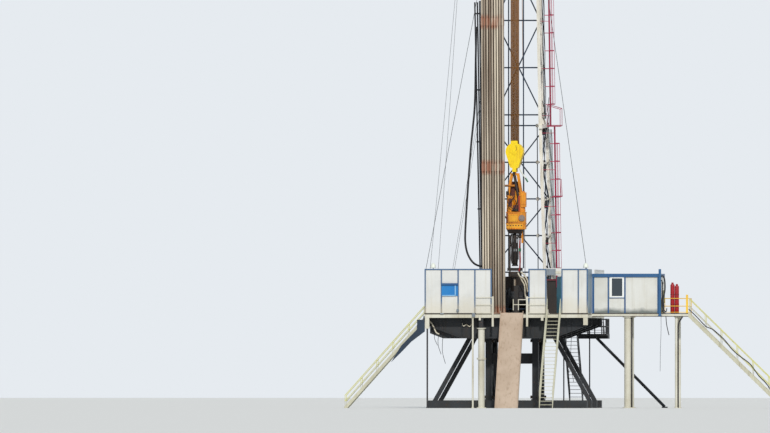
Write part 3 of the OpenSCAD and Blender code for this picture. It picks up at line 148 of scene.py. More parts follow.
def joined(*shapes):
    """One shape from several: points are stacked, and faces are counted on from those before them."""
    starts = np.cumsum([0] + [len(points) for points, _ in shapes])
    points = np.concatenate([points for points, _ in shapes])
    return points, [f + start for (_, faces), start in zip(shapes, starts) for f in faces]


def boxes(low, high):
    """Boxes between rows of lowest and highest corners: low + bit * (high - low) for 8 bit triples."""
    low, high = np.atleast_2d(low).astype(float), np.atleast_2d(high).astype(float)
    bits = np.array([[x, y, z] for z in (0, 1) for y in (0, 1) for x in (0, 1)])
    points = low[:, None] + bits * (high - low)[:, None]
    sides = np.array([[0, 2, 3, 1], [4, 5, 7, 6], [0, 1, 5, 4], [2, 6, 7, 3], [0, 4, 6, 2], [1, 3, 7, 5]])
    faces = sides + 8 * np.arange(len(low))[:, None, None]
    return points.reshape(-1, 3), [faces.reshape(-1, 4)]


def blocks(*rows, origin=(0.0, 0.0, 0.0)):
    """Boxes from rows of six numbers, x from and to, y from and to, z from and to, counted from an origin."""
    rows = np.array(rows, float)
    return boxes(rows[:, ::2] + origin, rows[:, 1::2] + origin)


def spans(x, y, z, origin=(0.0, 0.0, 0.0)):
    """Boxes that share y and z from and to, one for each row of x from and to."""
    return blocks(*[(*pair, *y, *z) for pair in np.atleast_2d(x)], origin=origin)


def around(middles, half):
    """Rows of from and to, half a width on both sides of each middle."""
    return np.stack([np.asarray(middles) - half, np.asarray(middles) + half], 1)


def skin(rings):
    """A shape from rings of points (rings, sides, 3): quads join the rings, and the two ends are capped."""
    n, sides = rings.shape[:2]
    i, k = np.meshgrid(np.arange(n - 1), np.arange(sides), indexing="ij")
    j, m = i + 1, (k + 1) % sides
    quads = np.stack([i * sides + k, i * sides + m, j * sides + m, j * sides + k], -1).reshape(-1, 4)
    ends = np.stack([np.arange(sides)[::-1], (n - 1) * sides + np.arange(sides)])
    return rings.reshape(-1, 3), [quads, ends]


def unit(v):
    """Rows of vectors scaled to length one."""
    return v / np.linalg.norm(v, axis=-1, keepdims=True)


def tube(path, radius, sides=8):
    """A round tube along a path: each ring is cos(a) * u + sin(a) * v, square to the tangent, u also to Y."""
    path = np.asarray(path, float)
    tangent = unit(np.gradient(path, axis=0))
    u = unit(np.cross([0.0, 1.0, 0.0], tangent))
    v = np.cross(tangent, u)
    angle = np.linspace(0, 2 * math.pi, sides, endpoint=False)[None, :, None]
    return skin(path[:, None] + radius * (np.cos(angle) * u[:, None] + np.sin(angle) * v[:, None]))


def rods(start, end, radius, sides=6):
    """Straight round bars between rows of points, all at once, each capped at both ends."""
    start, end = np.atleast_2d(start).astype(float), np.atleast_2d(end).astype(float)
    along = unit(end - start)
    helper = np.where(np.abs(along[:, 2:]) > 0.9, [[1.0, 0, 0]], [[0, 0, 1.0]])
    u = unit(np.cross(helper, along))
    v = np.cross(along, u)
    angle = np.linspace(0, 2 * math.pi, sides, endpoint=False)[None, :, None]
    ring = radius * (np.cos(angle) * u[:, None] + np.sin(angle) * v[:, None])
    points = np.stack([start[:, None] + ring, end[:, None] + ring], 1).reshape(-1, 3)
    base = (2 * sides * np.arange(len(start)))[:, None, None]
    k = np.arange(sides)
    m = (k + 1) % sides
    walls = (np.stack([k, m, m + sides, k + sides], -1)[None] + base).reshape(-1, 4)
    caps = (np.stack([k[::-1], k + sides])[None] + base).reshape(-1, sides)
    return points, [walls, caps]


def upright(x, y, z_low, z_high, radius, sides):
    """One upright round bar."""
    return rods([x, y, z_low], [x, y, z_high], radius, sides)


def lathe(profile, centre, sides=24):
    """A turned part: (radius, height) points of a profile carried round the vertical axis through centre."""
    profile = np.asarray(profile, float)
    angle = np.linspace(0, 2 * math.pi, sides, endpoint=False)
    r, z = np.maximum(profile[:, :1], 1e-5), profile[:, 1:]
    rings = np.stack([r * np.cos(angle), r * np.sin(angle), np.broadcast_to(z, (len(z), sides))], -1)
    return skin(rings + np.asarray(centre, float))


def smooth_path(points, steps=8):
    """A smooth line through points: from p1 to p2, the cubic that leaves p1 along p2 - p0 (Catmull-Rom)."""
    p = np.asarray(points, float)
    p = np.concatenate([2 * p[:1] - p[1:2], p, 2 * p[-1:] - p[-2:-1]])
    t = np.linspace(0, 1, steps, endpoint=False)[None, :, None]
    a, b, c, d = p[:-3, None], p[1:-2, None], p[2:-1, None], p[3:, None]
    line = 2 * b + (c - a) * t + (2 * a - 5 * b + 4 * c - d) * t ** 2 + (3 * b - a - 3 * c + d) * t ** 3
    return np.concatenate([0.5 * line.reshape(-1, 3), p[-2:-1]])


def bent(points, radius, sides=8, steps=8):
    """A bent hose, cable or bar through points."""
    return tube(smooth_path(points, steps), radius, sides)


def hung(y, radius, *points, sides=8):
    """A bent hose or cable that hangs in a plane y, through points of x and z."""
    return bent([[x, y, z] for x, z in points], radius, sides)


def make(name, shape, material, slot, body="structure", smooth=False):
    """Turns a shape given from the well centre into an object that rides on a CAD body, and returns it."""
    points, faces = shape
    mesh = bpy.data.meshes.new(name)
    mesh.from_pydata(at(points).tolist(), [], [row for group in faces for row in group.tolist()])
    mesh.materials.append(material)
    mesh.polygons.foreach_set("use_smooth", [smooth] * len(mesh.polygons))
    mesh.update()
    obj = bpy.data.objects.new(name, mesh)
    bpy.context.scene.collection.objects.link(obj)
    if body:
        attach(obj, body)
    print(name, len(mesh.polygons), "faces")
    return obj


hoisted = partial(make, body="travelling_unit")
rubber = partial(make, slot="hose_rubber", smooth=True)


# %% [markdown]
# ## Paint
# Nearly everything on a rig is enamel over steel. What the eye reads is not the paint's colour alone but
# what weather did to it: broad fading, dirt that rain pulled down in streaks, and rust where the film
# broke. One material function draws those layers from noise in object space, at real sizes halved by the
# model's scale.

# %% Colour and node helpers


def linear(hex_colour, alpha=1.0):
    """An sRGB hex colour as linear red, green, blue and alpha."""
    c = np.array([int(hex_colour[i:i + 2], 16) / 255 for i in (1, 3, 5)])
    c = np.where(c <= 0.04045, c / 12.92, ((c + 0.055) / 1.055) ** 2.4)
    return (*c.tolist(), alpha)


def add(tree, kind, inputs=None, **settings):
    """Adds a node with its settings; an input that is a socket is linked, and any other value is set."""
    n = tree.nodes.new(kind)
    for key, value in settings.items():
        setattr(n, key, value)
    for key, value in (inputs or {}).items():
        if isinstance(value, bpy.types.NodeSocket):
            tree.links.new(value, n.inputs[key])
        else:
            n.inputs[key].default_value = value
    return n


def blank(name):
    """A material with an empty principled shader; returns the material, its tree and the shader."""
    material = bpy.data.materials.new(name)
    material.use_nodes = True
    tree = material.node_tree
    return material, tree, tree.nodes["Principled BSDF"]


def maths(tree, operation, *values):
    """One step of arithmetic on one or two values."""
    return add(tree, "ShaderNodeMath", dict(enumerate(values)), operation=operation).outputs[0]


def remap(tree, value, low, high, to_low=0.0, to_high=1.0, **settings):
    """A value carried from the range low to high onto another range."""
    ranges = {"Value": value, "From Min": low, "From Max": high, "To Min": to_low, "To Max": to_high}
    return add(tree, "ShaderNodeMapRange", ranges, **settings).outputs["Result"]


def stretched(tree, coord, scale):
    """Coordinates times a scale for each axis: a small scale draws the noise out along its axis."""
    return add(tree, "ShaderNodeMapping", {"Vector": coord, "Scale": scale}).outputs[0]


def patches(tree, vector, scale, low, high, detail=4.0):
    """Noise patches as a mask from 0 to 1: noise below low is 0 and above high is 1."""
    noise = add(tree, "ShaderNodeTexNoise", {"Vector": vector, "Scale": scale, "Detail": detail})
    return remap(tree, noise.outputs["Fac"], low, high, interpolation_type="SMOOTHSTEP")


def roughen(tree, shader, height, strength, distance):
    """Shades the surface with bumps after a height mask."""
    bump = add(tree, "ShaderNodeBump", {"Height": height, "Strength": strength, "Distance": distance})
    tree.links.new(bump.outputs["Normal"], shader.inputs["Normal"])


def tinted(tree, mask, under, over, strength=1.0):
    """The colour under, with the colour over laid on it where the mask is 1."""
    if strength != 1.0:
        mask = maths(tree, "MULTIPLY", mask, strength)
    return add(tree, "ShaderNodeMix", {0: mask, 6: under, 7: over}, data_type="RGBA").outputs[2]


# %% [markdown]
# Enamel is built up in layers: the coat and its faded shade, dirt drawn out along Z, small rust spots, and
# splashed mud near the floor. Noise was chosen over pictures, because it follows any shape without seams.

# %% Enamel on steel
def enamel(name, colour, faded, dirt="#5a5142", streak=0.35, rust=0.15, rough=0.45, grain=1.0, splash=None):
    """Alkyd enamel on steel: fading in patches of about 0.8 m, rain streaks 60 mm wide and rust spots 40 mm
    across. A splash is a mud colour, the heights between which it thins out, and its strength."""
    material, tree, shader = blank(name)
    coord = add(tree, "ShaderNodeTexCoord").outputs["Object"]
    run = stretched(tree, coord, (14.0, 14.0, 0.8))
    fading = patches(tree, coord, 1.2 * grain, 0.35, 0.7)
    streaks = patches(tree, run, 1.0 * grain, 0.5, 0.78, 6.0)
    spots = patches(tree, coord, 22.0 * grain, 0.62, 0.72, 8.0)
    base = tinted(tree, fading, linear(colour), linear(faded))
    base = tinted(tree, streaks, base, linear(dirt), streak)
    base = tinted(tree, spots, base, linear("#7a4426"), rust)
    if splash:
        mud_colour, low, high, strength = splash
        unevenness = (high - low) * 0.4
        height = add(tree, "ShaderNodeSeparateXYZ", {"Vector": coord}).outputs["Z"]
        raised = maths(tree, "MULTIPLY", patches(tree, coord, 3.0, 0.2, 0.8), unevenness)
        mud = remap(tree, maths(tree, "SUBTRACT", height, raised), low, high - unevenness, 1.0, 0.0)
        base = tinted(tree, mud, base, linear(mud_colour), strength)
    tree.links.new(base, shader.inputs["Base Color"])
    roughness = remap(tree, streaks, 0.0, 1.0, rough, min(rough + 0.3, 1.0))
    tree.links.new(roughness, shader.inputs["Roughness"])
    fine = add(tree, "ShaderNodeTexNoise", {"Vector": coord, "Scale": 60.0, "Detail": 6.0}).outputs["Fac"]
    roughen(tree, shader, fine, 0.12, 0.004)
    return material


wall_paint = enamel("white enamel on wall sheet", "#d6d7d4", "#cbccc9", "#a89c80", 0.2, 0.06,
                    splash=("#c9b98f", floor_z, floor_z + 0.8, 0.28))
# On the dog house the splash darkens the foot of the walls to dark grey-green, up to about 0.26 m over the
# floor
house_paint = enamel("white enamel on dog house", "#d6d7d2", "#cdccc4", "#a89c80", 0.2, 0.06,
                     splash=("#4c5654", floor_z + 0.02, floor_z + 0.26, 0.85))
cream_paint = enamel("cream enamel on beams", "#d2d0c2", "#c0bba8", "#86785c", 0.35, 0.15)
blue_trim = enamel("blue enamel on frame", "#184b7d", "#275a86", "#2b3b50", 0.3, 0.08)
grey_trim = enamel("faded blue enamel on wall posts", "#3d5d82", "#54708e", "#434c57", 0.45, 0.2,
                   splash=("#a79c85", floor_z, floor_z + 0.55, 0.8))
shutter_paint = enamel("blue enamel on shutter", "#0a72b8", "#1c7fc0", "#24567c", 0.25, 0.05)
dark_paint = enamel("black enamel with mud", "#14181d", "#1f262d", "#4d463a", 0.35, 0.3, rough=0.6)
mast_paint = enamel("white enamel on mast", "#e9e7de", "#d9d5c8", "#6f5d48", 0.5, 0.4, grain=1.4)
navy_paint = enamel("navy enamel on bracing", "#10263b", "#193349", "#2e2c2a", 0.3, 0.3)
ladder_paint = enamel("crimson enamel on ladder", "#a8284c", "#8e2340", "#54202e", 0.3, 0.2)
stair_paint = enamel("buff enamel on stairs", "#c6c4ae", "#b5b29c", "#6f6850", 0.45, 0.35)
ramp_paint = enamel("mud-stained ramp plate", "#b9a693", "#aa9682", "#84705c", 0.45, 0.15, rough=0.7)
rail_paint = enamel("yellow enamel on rails", "#efc437", "#e2b640", "#8d6a24", 0.3, 0.25)
bottle_paint = enamel("red enamel on bottles", "#a8141f", "#961a22", "#4e1216", 0.25, 0.1, rough=0.3)
red_shade = enamel("darker red enamel", "#7c1119", "#6d1218", "#3c1012", 0.25, 0.2, rough=0.4)
block_paint = enamel("yellow enamel on block", "#f8d80c", "#f0c812", "#9a6a18", 0.45, 0.15, grain=2.0)
drive_paint = enamel("orange enamel on top drive", "#e8981c", "#d68416", "#42240f", 0.85, 0.55, grain=2.0)
teal_paint = enamel("teal enamel on door", "#44859a", "#3a7589", "#27454e", 0.4, 0.1)
black_paint = enamel("black enamel on pipe", "#232328", "#2e2d31", "#4a4036", 0.3, 0.2)
deck_paint = enamel("worn deck plate", "#6b665b", "#57524a", "#3b342b", 0.2, 0.5, rough=0.7)


# %% [markdown]
# ## Bare and greasy steel
# Drill pipe has no paint at all: mill scale, mud film and rust, with the thick tool joints rustier than the
# tube. The bands come from height, because every stand has its joints at the same levels.

# %% Drill pipe steel
def pipe_steel(name, tool_joint_step, foot_z):
    """Scaled pipe steel: brown-grey tube with pale mud, rust bands at each step of height, painted shade on
    its sides.
    """
    material, tree, shader = blank(name)
    coord = add(tree, "ShaderNodeTexCoord").outputs["Object"]
    per_pipe = patches(tree, stretched(tree, coord, (11.6, 9.0, 0.12)), 1.0, 0.36, 0.64, 2.0)
    fine = patches(tree, stretched(tree, coord, (40.0, 40.0, 1.2)), 1.0, 0.4, 0.75, 6.0)
    broken = patches(tree, stretched(tree, coord, (7.0, 9.0, 0.9)), 1.0, 0.36, 0.58, 4.0)
    base = tinted(tree, per_pipe, linear("#7d6d5e"), linear("#d8ccb8"))
    base = tinted(tree, fine, base, linear("#5f4736"), 0.45)
    # Painted shade: faces turned from the eye darken to dark brown, standing for the shade in the gaps
    # between pipes
    edge = add(tree, "ShaderNodeLayerWeight", {"Blend": 0.5}).outputs["Facing"]
    base = tinted(tree, remap(tree, edge, 0.25, 0.75), base, linear("#33261d"), 0.85)
    height = add(tree, "ShaderNodeSeparateXYZ", {"Vector": coord}).outputs["Z"]
    above = maths(tree, "SUBTRACT", height, foot_z - tool_joint_step / 2)
    wrapped = maths(tree, "MODULO", above, tool_joint_step)
    off = maths(tree, "ABSOLUTE", maths(tree, "SUBTRACT", wrapped, tool_joint_step / 2))
    band = remap(tree, off, 0.16, 0.28, 1.0, 0.0)
    base = tinted(tree, maths(tree, "MULTIPLY", band, broken), base, linear("#99512f"), 0.7)
    tree.links.new(base, shader.inputs["Base Color"])
    shader.inputs["Metallic"].default_value = 0.25
    shader.inputs["Roughness"].default_value = 0.55
    roughen(tree, shader, fine, 0.2, 0.003)
    return material


stand_foot_z = floor_z + 0.03
joints_per_stand = 3
joint_step = (local_box("pipe_stands")[1][2] - stand_foot_z) / joints_per_stand
stand_steel = pipe_steel("drill pipe with mill scale", joint_step, stand_foot_z)


def plain_metal(name, colour, shade, metallic, rough, scale=18.0):
    """Worked steel or rubber: two shades of one material in small patches, and a fine tooth."""
    material, tree, shader = blank(name)
    coord = add(tree, "ShaderNodeTexCoord").outputs["Object"]
    mottled = patches(tree, coord, scale, 0.35, 0.7, 6.0)
    tree.links.new(tinted(tree, mottled, linear(colour), linear(shade)), shader.inputs["Base Color"])
    shader.inputs["Metallic"].default_value = metallic
    shader.inputs["Roughness"].default_value = rough
    roughen(tree, shader, mottled, 0.15, 0.003)
    return material


machined_steel = plain_metal("oiled machined steel", "#8b8c88", "#5d5a54", 0.7, 0.4)
forged_steel = plain_metal("forged steel with mud", "#54463c", "#2c2622", 0.3, 0.6)
rope_steel = plain_metal("dull galvanised rope", "#4a4c4e", "#383a3c", 0.5, 0.6, 60.0)
greased_rope = plain_metal("rusty greased rope", "#9a6a36", "#704822", 0.1, 0.6, 26.0)
hose_rubber = plain_metal("black hose rubber", "#1c1c20", "#26262b", 0.0, 0.65, 40.0)
window_glass, _, glass_shader = blank("dark window glass")
glass_shader.inputs["Base Color"].default_value = linear("#22313b")
glass_shader.inputs["Roughness"].default_value = 0.12
glass_shader.inputs["Coat Weight"].default_value = 0.6

# %% [markdown]
# ## Dressing the construction
# The carried pieces already have their real shapes, so each only needs its finish. The list pairs every
# node with the coat it wears on the real rig.

# %% Finishes of the carried pieces
coats = {
    dark_paint: ["base_frame", "substructure_legs", "floor_girders", "trip_tank", "rear_stair",
                 "rear_platform", "drawworks"],
    cream_paint: ["front_columns", "edge_beam", "vdoor_rails", "doghouse_platform", "doghouse_columns",
                  "doghouse_window"],
    blue_trim: ["doghouse_post"],
    deck_paint: ["floor_deck"],
    wall_paint: ["front_wall_left", "front_wall_right", "side_walls", "rear_walls", "doghouse_roof"],
    house_paint: ["doghouse_front_wall", "doghouse_rear_wall", "doghouse_end_walls"],
    mast_paint: ["mast_lower_left", "mast_lower_right", "mast_upper_left", "mast_upper_right", "crown_block"],
    navy_paint: ["mast_lower_back", "mast_upper_back", "racking_board", "guide_rails", "left_stair_brace"],
    machined_steel: ["rotary_table", "crown_sheaves"],
    forged_steel: ["elevator_links", "quill"],
    stair_paint: ["front_stair", "left_stair", "right_stair"],
    black_paint: ["standpipe", "iron_roughneck"],
    ladder_paint: ["mast_ladder"], ramp_paint: ["vdoor_ramp"], rail_paint: ["landing_rail"],
    bottle_paint: ["gas_bottles"], block_paint: ["travelling_block"], drive_paint: ["top_drive"],
    teal_paint: ["floor_door"], shutter_paint: ["window_shutter"], stand_steel: ["pipe_stands"],
    rope_steel: ["guy_lines"],
}
for coat, names in coats.items():
    for name in names:
        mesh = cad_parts[name].data
        mesh.materials.clear()
        mesh.materials.append(coat)
print(sum(len(names) for names in coats.values()), "carried pieces have their finish")

# %% [markdown]
# Some pieces wear two finishes: the top drive's collar and pipe handler are black with grease under the
# orange gear case, its brake has a grey cover, the mast's diagonals are navy, and the stairs' handrails are
# yellow-green. Each face is told apart by where its middle lies.

# %% Second finishes by place


def second_coat(node, coat, where):
    """Gives some of a node's faces another material: where(x, y, z) picks them by their middles."""
    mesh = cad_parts[node].data
    middles = np.empty(3 * len(mesh.polygons))
    mesh.polygons.foreach_get("center", middles)
    x, y, z = (middles.reshape(-1, 3) - well).T
    index = np.empty(len(mesh.polygons), int)
    mesh.polygons.foreach_get("material_index", index)
    mesh.materials.append(coat)
    index[where(x, y, z)] = len(mesh.materials) - 1
    mesh.polygons.foreach_set("material_index", index)


def between_levels(y, z):
    """True for the diagonals of the mast's sides: inside the chords, and away from every level beam."""
    up, back = z - floor_z, y - mast_foot_y
    along = back * -math.sin(lean) + up * math.cos(lean)
    across = back * math.cos(lean) + up * math.sin(lean)
    levels = np.concatenate([lower_levels, upper_levels])
    level_reach, chord_reach, foot_reach = 0.12, 0.07, 0.3
    off_level = np.abs(along[:, None] - levels).min(1) > level_reach
    inner = np.where(along < lower_l, lower_depth, upper_depth) - chord_reach
    return off_level & (abs(across) < inner) & (along > foot_reach)


grease_black = enamel("greased black steel", "#1d1a19", "#2b2522", "#4a3527", 0.6, 0.4, rough=0.5)
cover_grey = enamel("grey enamel on brake cover", "#8f817a", "#7b706b", "#4a403a", 0.3, 0.2)
hand_rail = enamel("yellow-green enamel on handrails", "#d3cf6a", "#c3bd72", "#6e6a3a", 0.3, 0.2)
second_coat("top_drive", grease_black, lambda x, y, z: z < 5.852)
second_coat("top_drive", grease_black,
            lambda x, y, z: (y > -0.229) & (y < -0.18) & (abs(z - 5.9375) < 0.028) & (abs(x) < 0.3))
second_coat("top_drive", cover_grey, lambda x, y, z: (y < -0.222) & (np.hypot(x - 0.25, z - 6.22) < 0.104))
second_coat("front_columns", black_paint, lambda x, y, z: (x < -2.4) & (z < 2.3))
# Painted shade: a front column's top, under the floor, wears the black enamel, standing for the floor's
# shadow on it
second_coat("front_columns", dark_paint, lambda x, y, z: (abs(x + 0.825) < 0.2) & (z > 2.62))
second_coat("top_drive", grease_black, lambda x, y, z: (x < -0.21) & (z > 6.98) & (z < 7.3))
for side_face in ("mast_lower_left", "mast_lower_right", "mast_upper_left", "mast_upper_right"):
    second_coat(side_face, navy_paint, lambda x, y, z: between_levels(y, z))
# A handrail's faces lie above a line that falls from the stair's head to its foot
for stair, head_x, side in (("left_stair", -2.675, -1), ("right_stair", 5.85, 1)):
    lo, hi = local_box(stair)
    run, drop = hi[0] - lo[0], hi[2] - 0.4
    second_coat(stair, hand_rail, lambda x, y, z: z > drop * (1 - side * (x - head_x) / run) + 0.2)

# %% [markdown]
# ## Wind wall trims
# The wall sheets are clipped between blue posts, and their top edge has the same blue. They stand on a
# shadow gap at the floor's edge. Rows of arrays hold the places, so that each kind of fitting is one mesh.

# %% Trims of the wind walls
wall_y = deck_lo[1]
wall_h = 1.45
wall_top = floor_z + wall_h
on_wall = partial(blocks, origin=(0.0, wall_y, floor_z))
along_wall = partial(spans, origin=(0.0, wall_y, floor_z))

posts = np.array([-2.657, -2.125, -1.575, -1.025, -0.493, 0.748, 1.302, 1.828, 2.363, 2.657])
runs = np.array([[-2.676, -0.474], [0.729, 1.321], [1.809, 2.676]])
post_trims = along_wall(around(posts, 0.021), (-0.012, -0.002), (0.02, wall_h - 0.004))
top_trims = along_wall(runs, (-0.014, 0.04), (wall_h - 0.026, wall_h + 0.012))
make("wall_trims", joined(post_trims, top_trims), grey_trim, "shutter_blue")
make("wall_foot_gaps", along_wall(runs, (-0.006, -0.001), (-0.002, 0.02)), grease_black, "black_paint")

# Shallow upright ribs, two on each wall sheet, except where the shutter hangs
sheets = [[-2.64, -2.144], [-2.106, -1.594], [-1.556, -1.044], [-1.006, -0.512], [0.767, 1.283],
          [1.847, 2.344], [2.382, 2.638]]
ribs = np.concatenate([np.linspace(a, b, 4)[1:-1] for a, b in sheets])
ribs = ribs[abs(ribs + 1.85) >= 0.25]
make("wall_sheet_ribs", along_wall(around(ribs, 0.003), (0.002, 0.0075), (0.05, wall_h - 0.05)), wall_paint,
     "wall_panel")

# The shutter's lip, dark blue as a painted shadow along its top, its pale edges, and the latch, boxes and
# brackets along the wall and the floor's edge
shutter_lo, shutter_hi = local_box("window_shutter")
w, _, h = shutter_hi - shutter_lo
on_shutter = partial(blocks, origin=shutter_lo)
# Painted shadow: the lip takes the frame's dark blue, standing for the shade along the shutter's top
painted_shadow_lip = on_shutter((-0.01, w + 0.01, -0.03, -0.001, h - 0.055, h + 0.012))
make("shutter_painted_shadow_lip", painted_shadow_lip, blue_trim, "shutter_blue")
pale_blue = enamel("pale blue enamel on shutter edge", "#7fb2d8", "#6ea4cd", "#56738c", 0.2, 0.05)
make("shutter_edges", on_shutter((w - 0.10, w - 0.06, -0.008, -0.001, 0.02, h - 0.06),
                                 (0.02, w - 0.06, -0.008, -0.001, -0.004, 0.03)), pale_blue, "shutter_blue")
knob = np.array([-1.585, wall_y - 0.012, floor_z + 0.11])
latch = joined(rods(knob, knob - [0, 0.043, 0], 0.045, 12), on_wall((-1.60, -1.57, -0.05, -0.02, 0.03, 0.11)))
grey_steel = enamel("grey enamel on fittings", "#7d8790", "#6f7880", "#4c4d4b", 0.4, 0.3)
make("panel_latch", latch, grey_steel, "machined_steel")
edge_boxes = on_wall((-1.115, -1.01, -0.07, -0.015, -0.10, 0.02), (-2.16, -2.05, -0.04, -0.015, -0.02, 0.02),
                     (1.33, 1.625, -0.115, -0.032, 1.262, 1.455))
make("edge_boxes", edge_boxes, grey_steel, "machined_steel")
under = deck_lo[2] - floor_z
brackets = on_wall((-0.89, -0.83, -0.05, -0.002, under - 0.19, under - 0.02),
                   (1.145, 1.225, -0.05, -0.002, under - 0.20, under - 0.02),
                   (1.60, 1.80, -0.06, -0.03, 1.30, 1.38))
make("edge_brackets", brackets, cream_paint, "cream_paint")

# %% [markdown]
# ## Floodlights
# Round lamps on short posts light the floor at night. One lathe profile makes both housings.

# %% Floodlights
lamp_profile = [[0.0, 0.16], [0.035, 0.15], [0.075, 0.09], [0.085, 0.02], [0.085, 0.0], [0.0, 0.0]]
lamp_white = enamel("white enamel on lamps", "#e6e8e0", "#d5dccf", "#8c9a84", 0.25, 0.1)
lamp_spots = np.array([[-2.40, -2.70, wall_top + 0.045], [2.60, -2.66, wall_top + 0.05]])
housings = joined(*[lathe(lamp_profile, spot, 16) for spot in lamp_spots])
lamp_feet = lamp_spots * [1, 1, 0] + [0, 0, wall_top - 0.03]
make("floodlights", housings, lamp_white, "cream_paint", smooth=True)
make("floodlight_posts", rods(lamp_feet, lamp_spots, 0.014, 8), grey_steel, "machined_steel")

# %% [markdown]
# ## Dog house dressing
# The driller's cabin has a blue frame over its white sheets: a deep band under the roof, corner posts, and
# posts beside the window. The pane sits in the frame's recess.

# %% Dog house frame, pane and fittings
front = local_box("doghouse_front_wall")[0][1]
house_h = local_box("doghouse_front_wall")[1][2] - floor_z
on_house = partial(blocks, origin=(0.0, front, floor_z))
frame_posts = [(a, b, -0.012, -0.001, 0.01, house_h - 0.04)
               for a, b in ((2.695, 2.765), (3.205, 3.25), (3.75, 3.795), (4.835, 4.875))]
band_z, sill_z = (house_h - 0.05, house_h + 0.06), 3.585 - floor_z
frame_bands = [(2.692, 4.872, -0.03, -0.001, band_z[0], house_h + 0.062),
               (2.692, 2.70, -0.018, -0.001, 0.505, 0.51),
               (2.70, 4.94, -0.345 - front, -0.335 - front, *band_z),
               (4.951, 4.965, 0.05, -0.36 - front, *band_z),
               (3.255, 3.75, -0.014, -0.001, sill_z, sill_z + 0.025)]
make("doghouse_frame", on_house(*frame_posts, *frame_bands), blue_trim, "shutter_blue")
window_lo, window_hi = local_box("doghouse_window")
w, _, h = window_hi - window_lo
rim = 0.056
pane = blocks((rim, w - rim, 0.012, 0.024, rim, h - rim), origin=window_lo)
make("doghouse_pane", pane, window_glass, "window_glass")
white_frame = enamel("white window frame", "#eef0ee", "#e4e6e4", "#a8a79c", 0.15, 0.0)
second_coat("doghouse_window", white_frame, lambda x, y, z: z > 0)
shade_plate = blocks((2.6765, 2.69, -2.72, -1.57, floor_z + 0.02, wall_top))
shade_paint = enamel("grey-blue enamel in shade", "#7d909d", "#6d808e", "#4f5a62")
make("corner_shade_plate", shade_plate, shade_paint, "shutter_blue")

# Black service hoses at the dog house's right end, a bundle under them, and lines below the landing
end_y = front - 0.05
end_hoses = joined(
    hung(end_y, 0.024, (4.96, 4.30), (5.02, 4.31), (5.07, 4.22), (5.09, 4.0), (5.08, 3.8), (5.03, 3.55),
         (5.05, 3.3), (5.0, 3.14)),
    hung(end_y - 0.03, 0.018, (4.97, 4.18), (5.0, 4.12), (5.01, 3.9), (5.0, 3.4), (5.06, 3.2), (5.13, 3.13)),
    hung(end_y, 0.015, (5.0, 3.2), (5.06, 3.12), (5.13, 3.16), (5.15, 3.26)))
rubber("doghouse_hoses", end_hoses, hose_rubber)
bundle_paint = enamel("olive cable bundle", "#77775a", "#64644c", "#3c3a2c", 0.5, 0.2)
coils = joined(upright(5.04, end_y + 0.03, 3.42, 3.84, 0.045, 10),
               upright(4.99, end_y + 0.02, 3.15, 3.5, 0.03, 8))
make("doghouse_bundle", coils, bundle_paint, "black_paint")
platform_z = local_box("doghouse_platform")[0][2]
drops = joined(hung(-1.5, 0.013, (5.11, platform_z + 0.01), (5.13, 2.75), (5.17, 2.55), (5.21, 2.38)),
               hung(-1.5, 0.006, (4.95, platform_z + 0.01), (4.95, 2.5), (4.93, 1.9), (4.92, 1.2)),
               hung(-1.48, 0.022, (5.66, platform_z + 0.01), (5.60, 2.9), (5.53, 2.78), (5.51, 2.6),
                    (5.51, 1.9), (5.51, 0.02)))
rubber("landing_drop_lines", drops, hose_rubber)
platform_h = platform_z - floor_z
platform_lines = on_house((2.69, 5.845, -0.012, -0.001, -0.004, 0.018),
                          (2.69, 5.845, -0.012, -0.001, platform_h - 0.004, platform_h + 0.016))
make("platform_lines", platform_lines, grease_black, "black_paint")
column_x, column_half, pipe_offset = 3.85, 0.1125, 0.026
drain_x = column_x + column_half + pipe_offset
drain = upright(drain_x, -1.46, 0.02, platform_z - 0.001, 0.024, 10)
make("column_drain_pipe", drain, black_paint, "black_paint", smooth=True)

# Two gas bottles on the landing, strapped twice
bottle_lo, bottle_hi = local_box("gas_bottles")
bottle_r, bottle_y = 0.07, bottle_lo[1] + 0.08
bottle_x = [5.318, 5.462]
arch = np.linspace(0, math.pi / 2, 8)[1:]


def bottle(x, height):
    """A gas bottle on the landing: straight body, round shoulder, and a cap over its valve."""
    shoulder = np.stack([0.03 + (bottle_r - 0.03) * np.cos(arch), height - 0.10 + 0.05 * np.sin(arch)], 1)
    foot = [[0.0, 0.0], [bottle_r - 0.01, 0.0], [bottle_r, 0.01], [bottle_r, height - 0.10]]
    cap = [[0.04, height - 0.045], [0.036, height - 0.005], [0.02, height], [0.0, height]]
    return lathe(np.concatenate([foot, shoulder, cap]), [x, bottle_y, bottle_lo[2]], 28)


stand_h = bottle_hi[2] - bottle_lo[2]
both_bottles = joined(bottle(bottle_x[0], stand_h + 0.12), bottle(bottle_x[1], stand_h + 0.07))
bottles = make("gas_bottle_skin", both_bottles, bottle_paint, "bottle_red", smooth=True)
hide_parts("gas_bottles")
strap = np.array([[0.001, 0.0], [0.004, 0.0], [0.004, 0.02], [0.001, 0.02], [0.001, 0.0]])
straps = [lathe(strap + [bottle_r, floor_z + z], [x, bottle_y, 0], 24) for x in bottle_x for z in (0.3, 0.62)]
make("bottle_straps", joined(*straps), red_shade, "bottle_red")

# %% [markdown]
# ## Mast joints and cables
# The mast leans 3.5 degrees towards the well, so its fittings are set out in its own frame: x across, y to
# the rear and z along it. The lean a turns that frame:
# y' = foot + y cos a - z sin a, z' = floor + y sin a + z cos a.

# %% Mast frame
def in_mast(points):
    """Points of the mast's own frame, moved to places from the well centre."""
    x, y, z = np.asarray(points, float).T
    return np.stack([x, mast_foot_y + y * math.cos(lean) - z * math.sin(lean),
                     floor_z + y * math.sin(lean) + z * math.cos(lean)], -1)


def mast_shape(shape):
    """A shape of the mast's own frame, moved like its points."""
    points, faces = shape
    return in_mast(points), faces


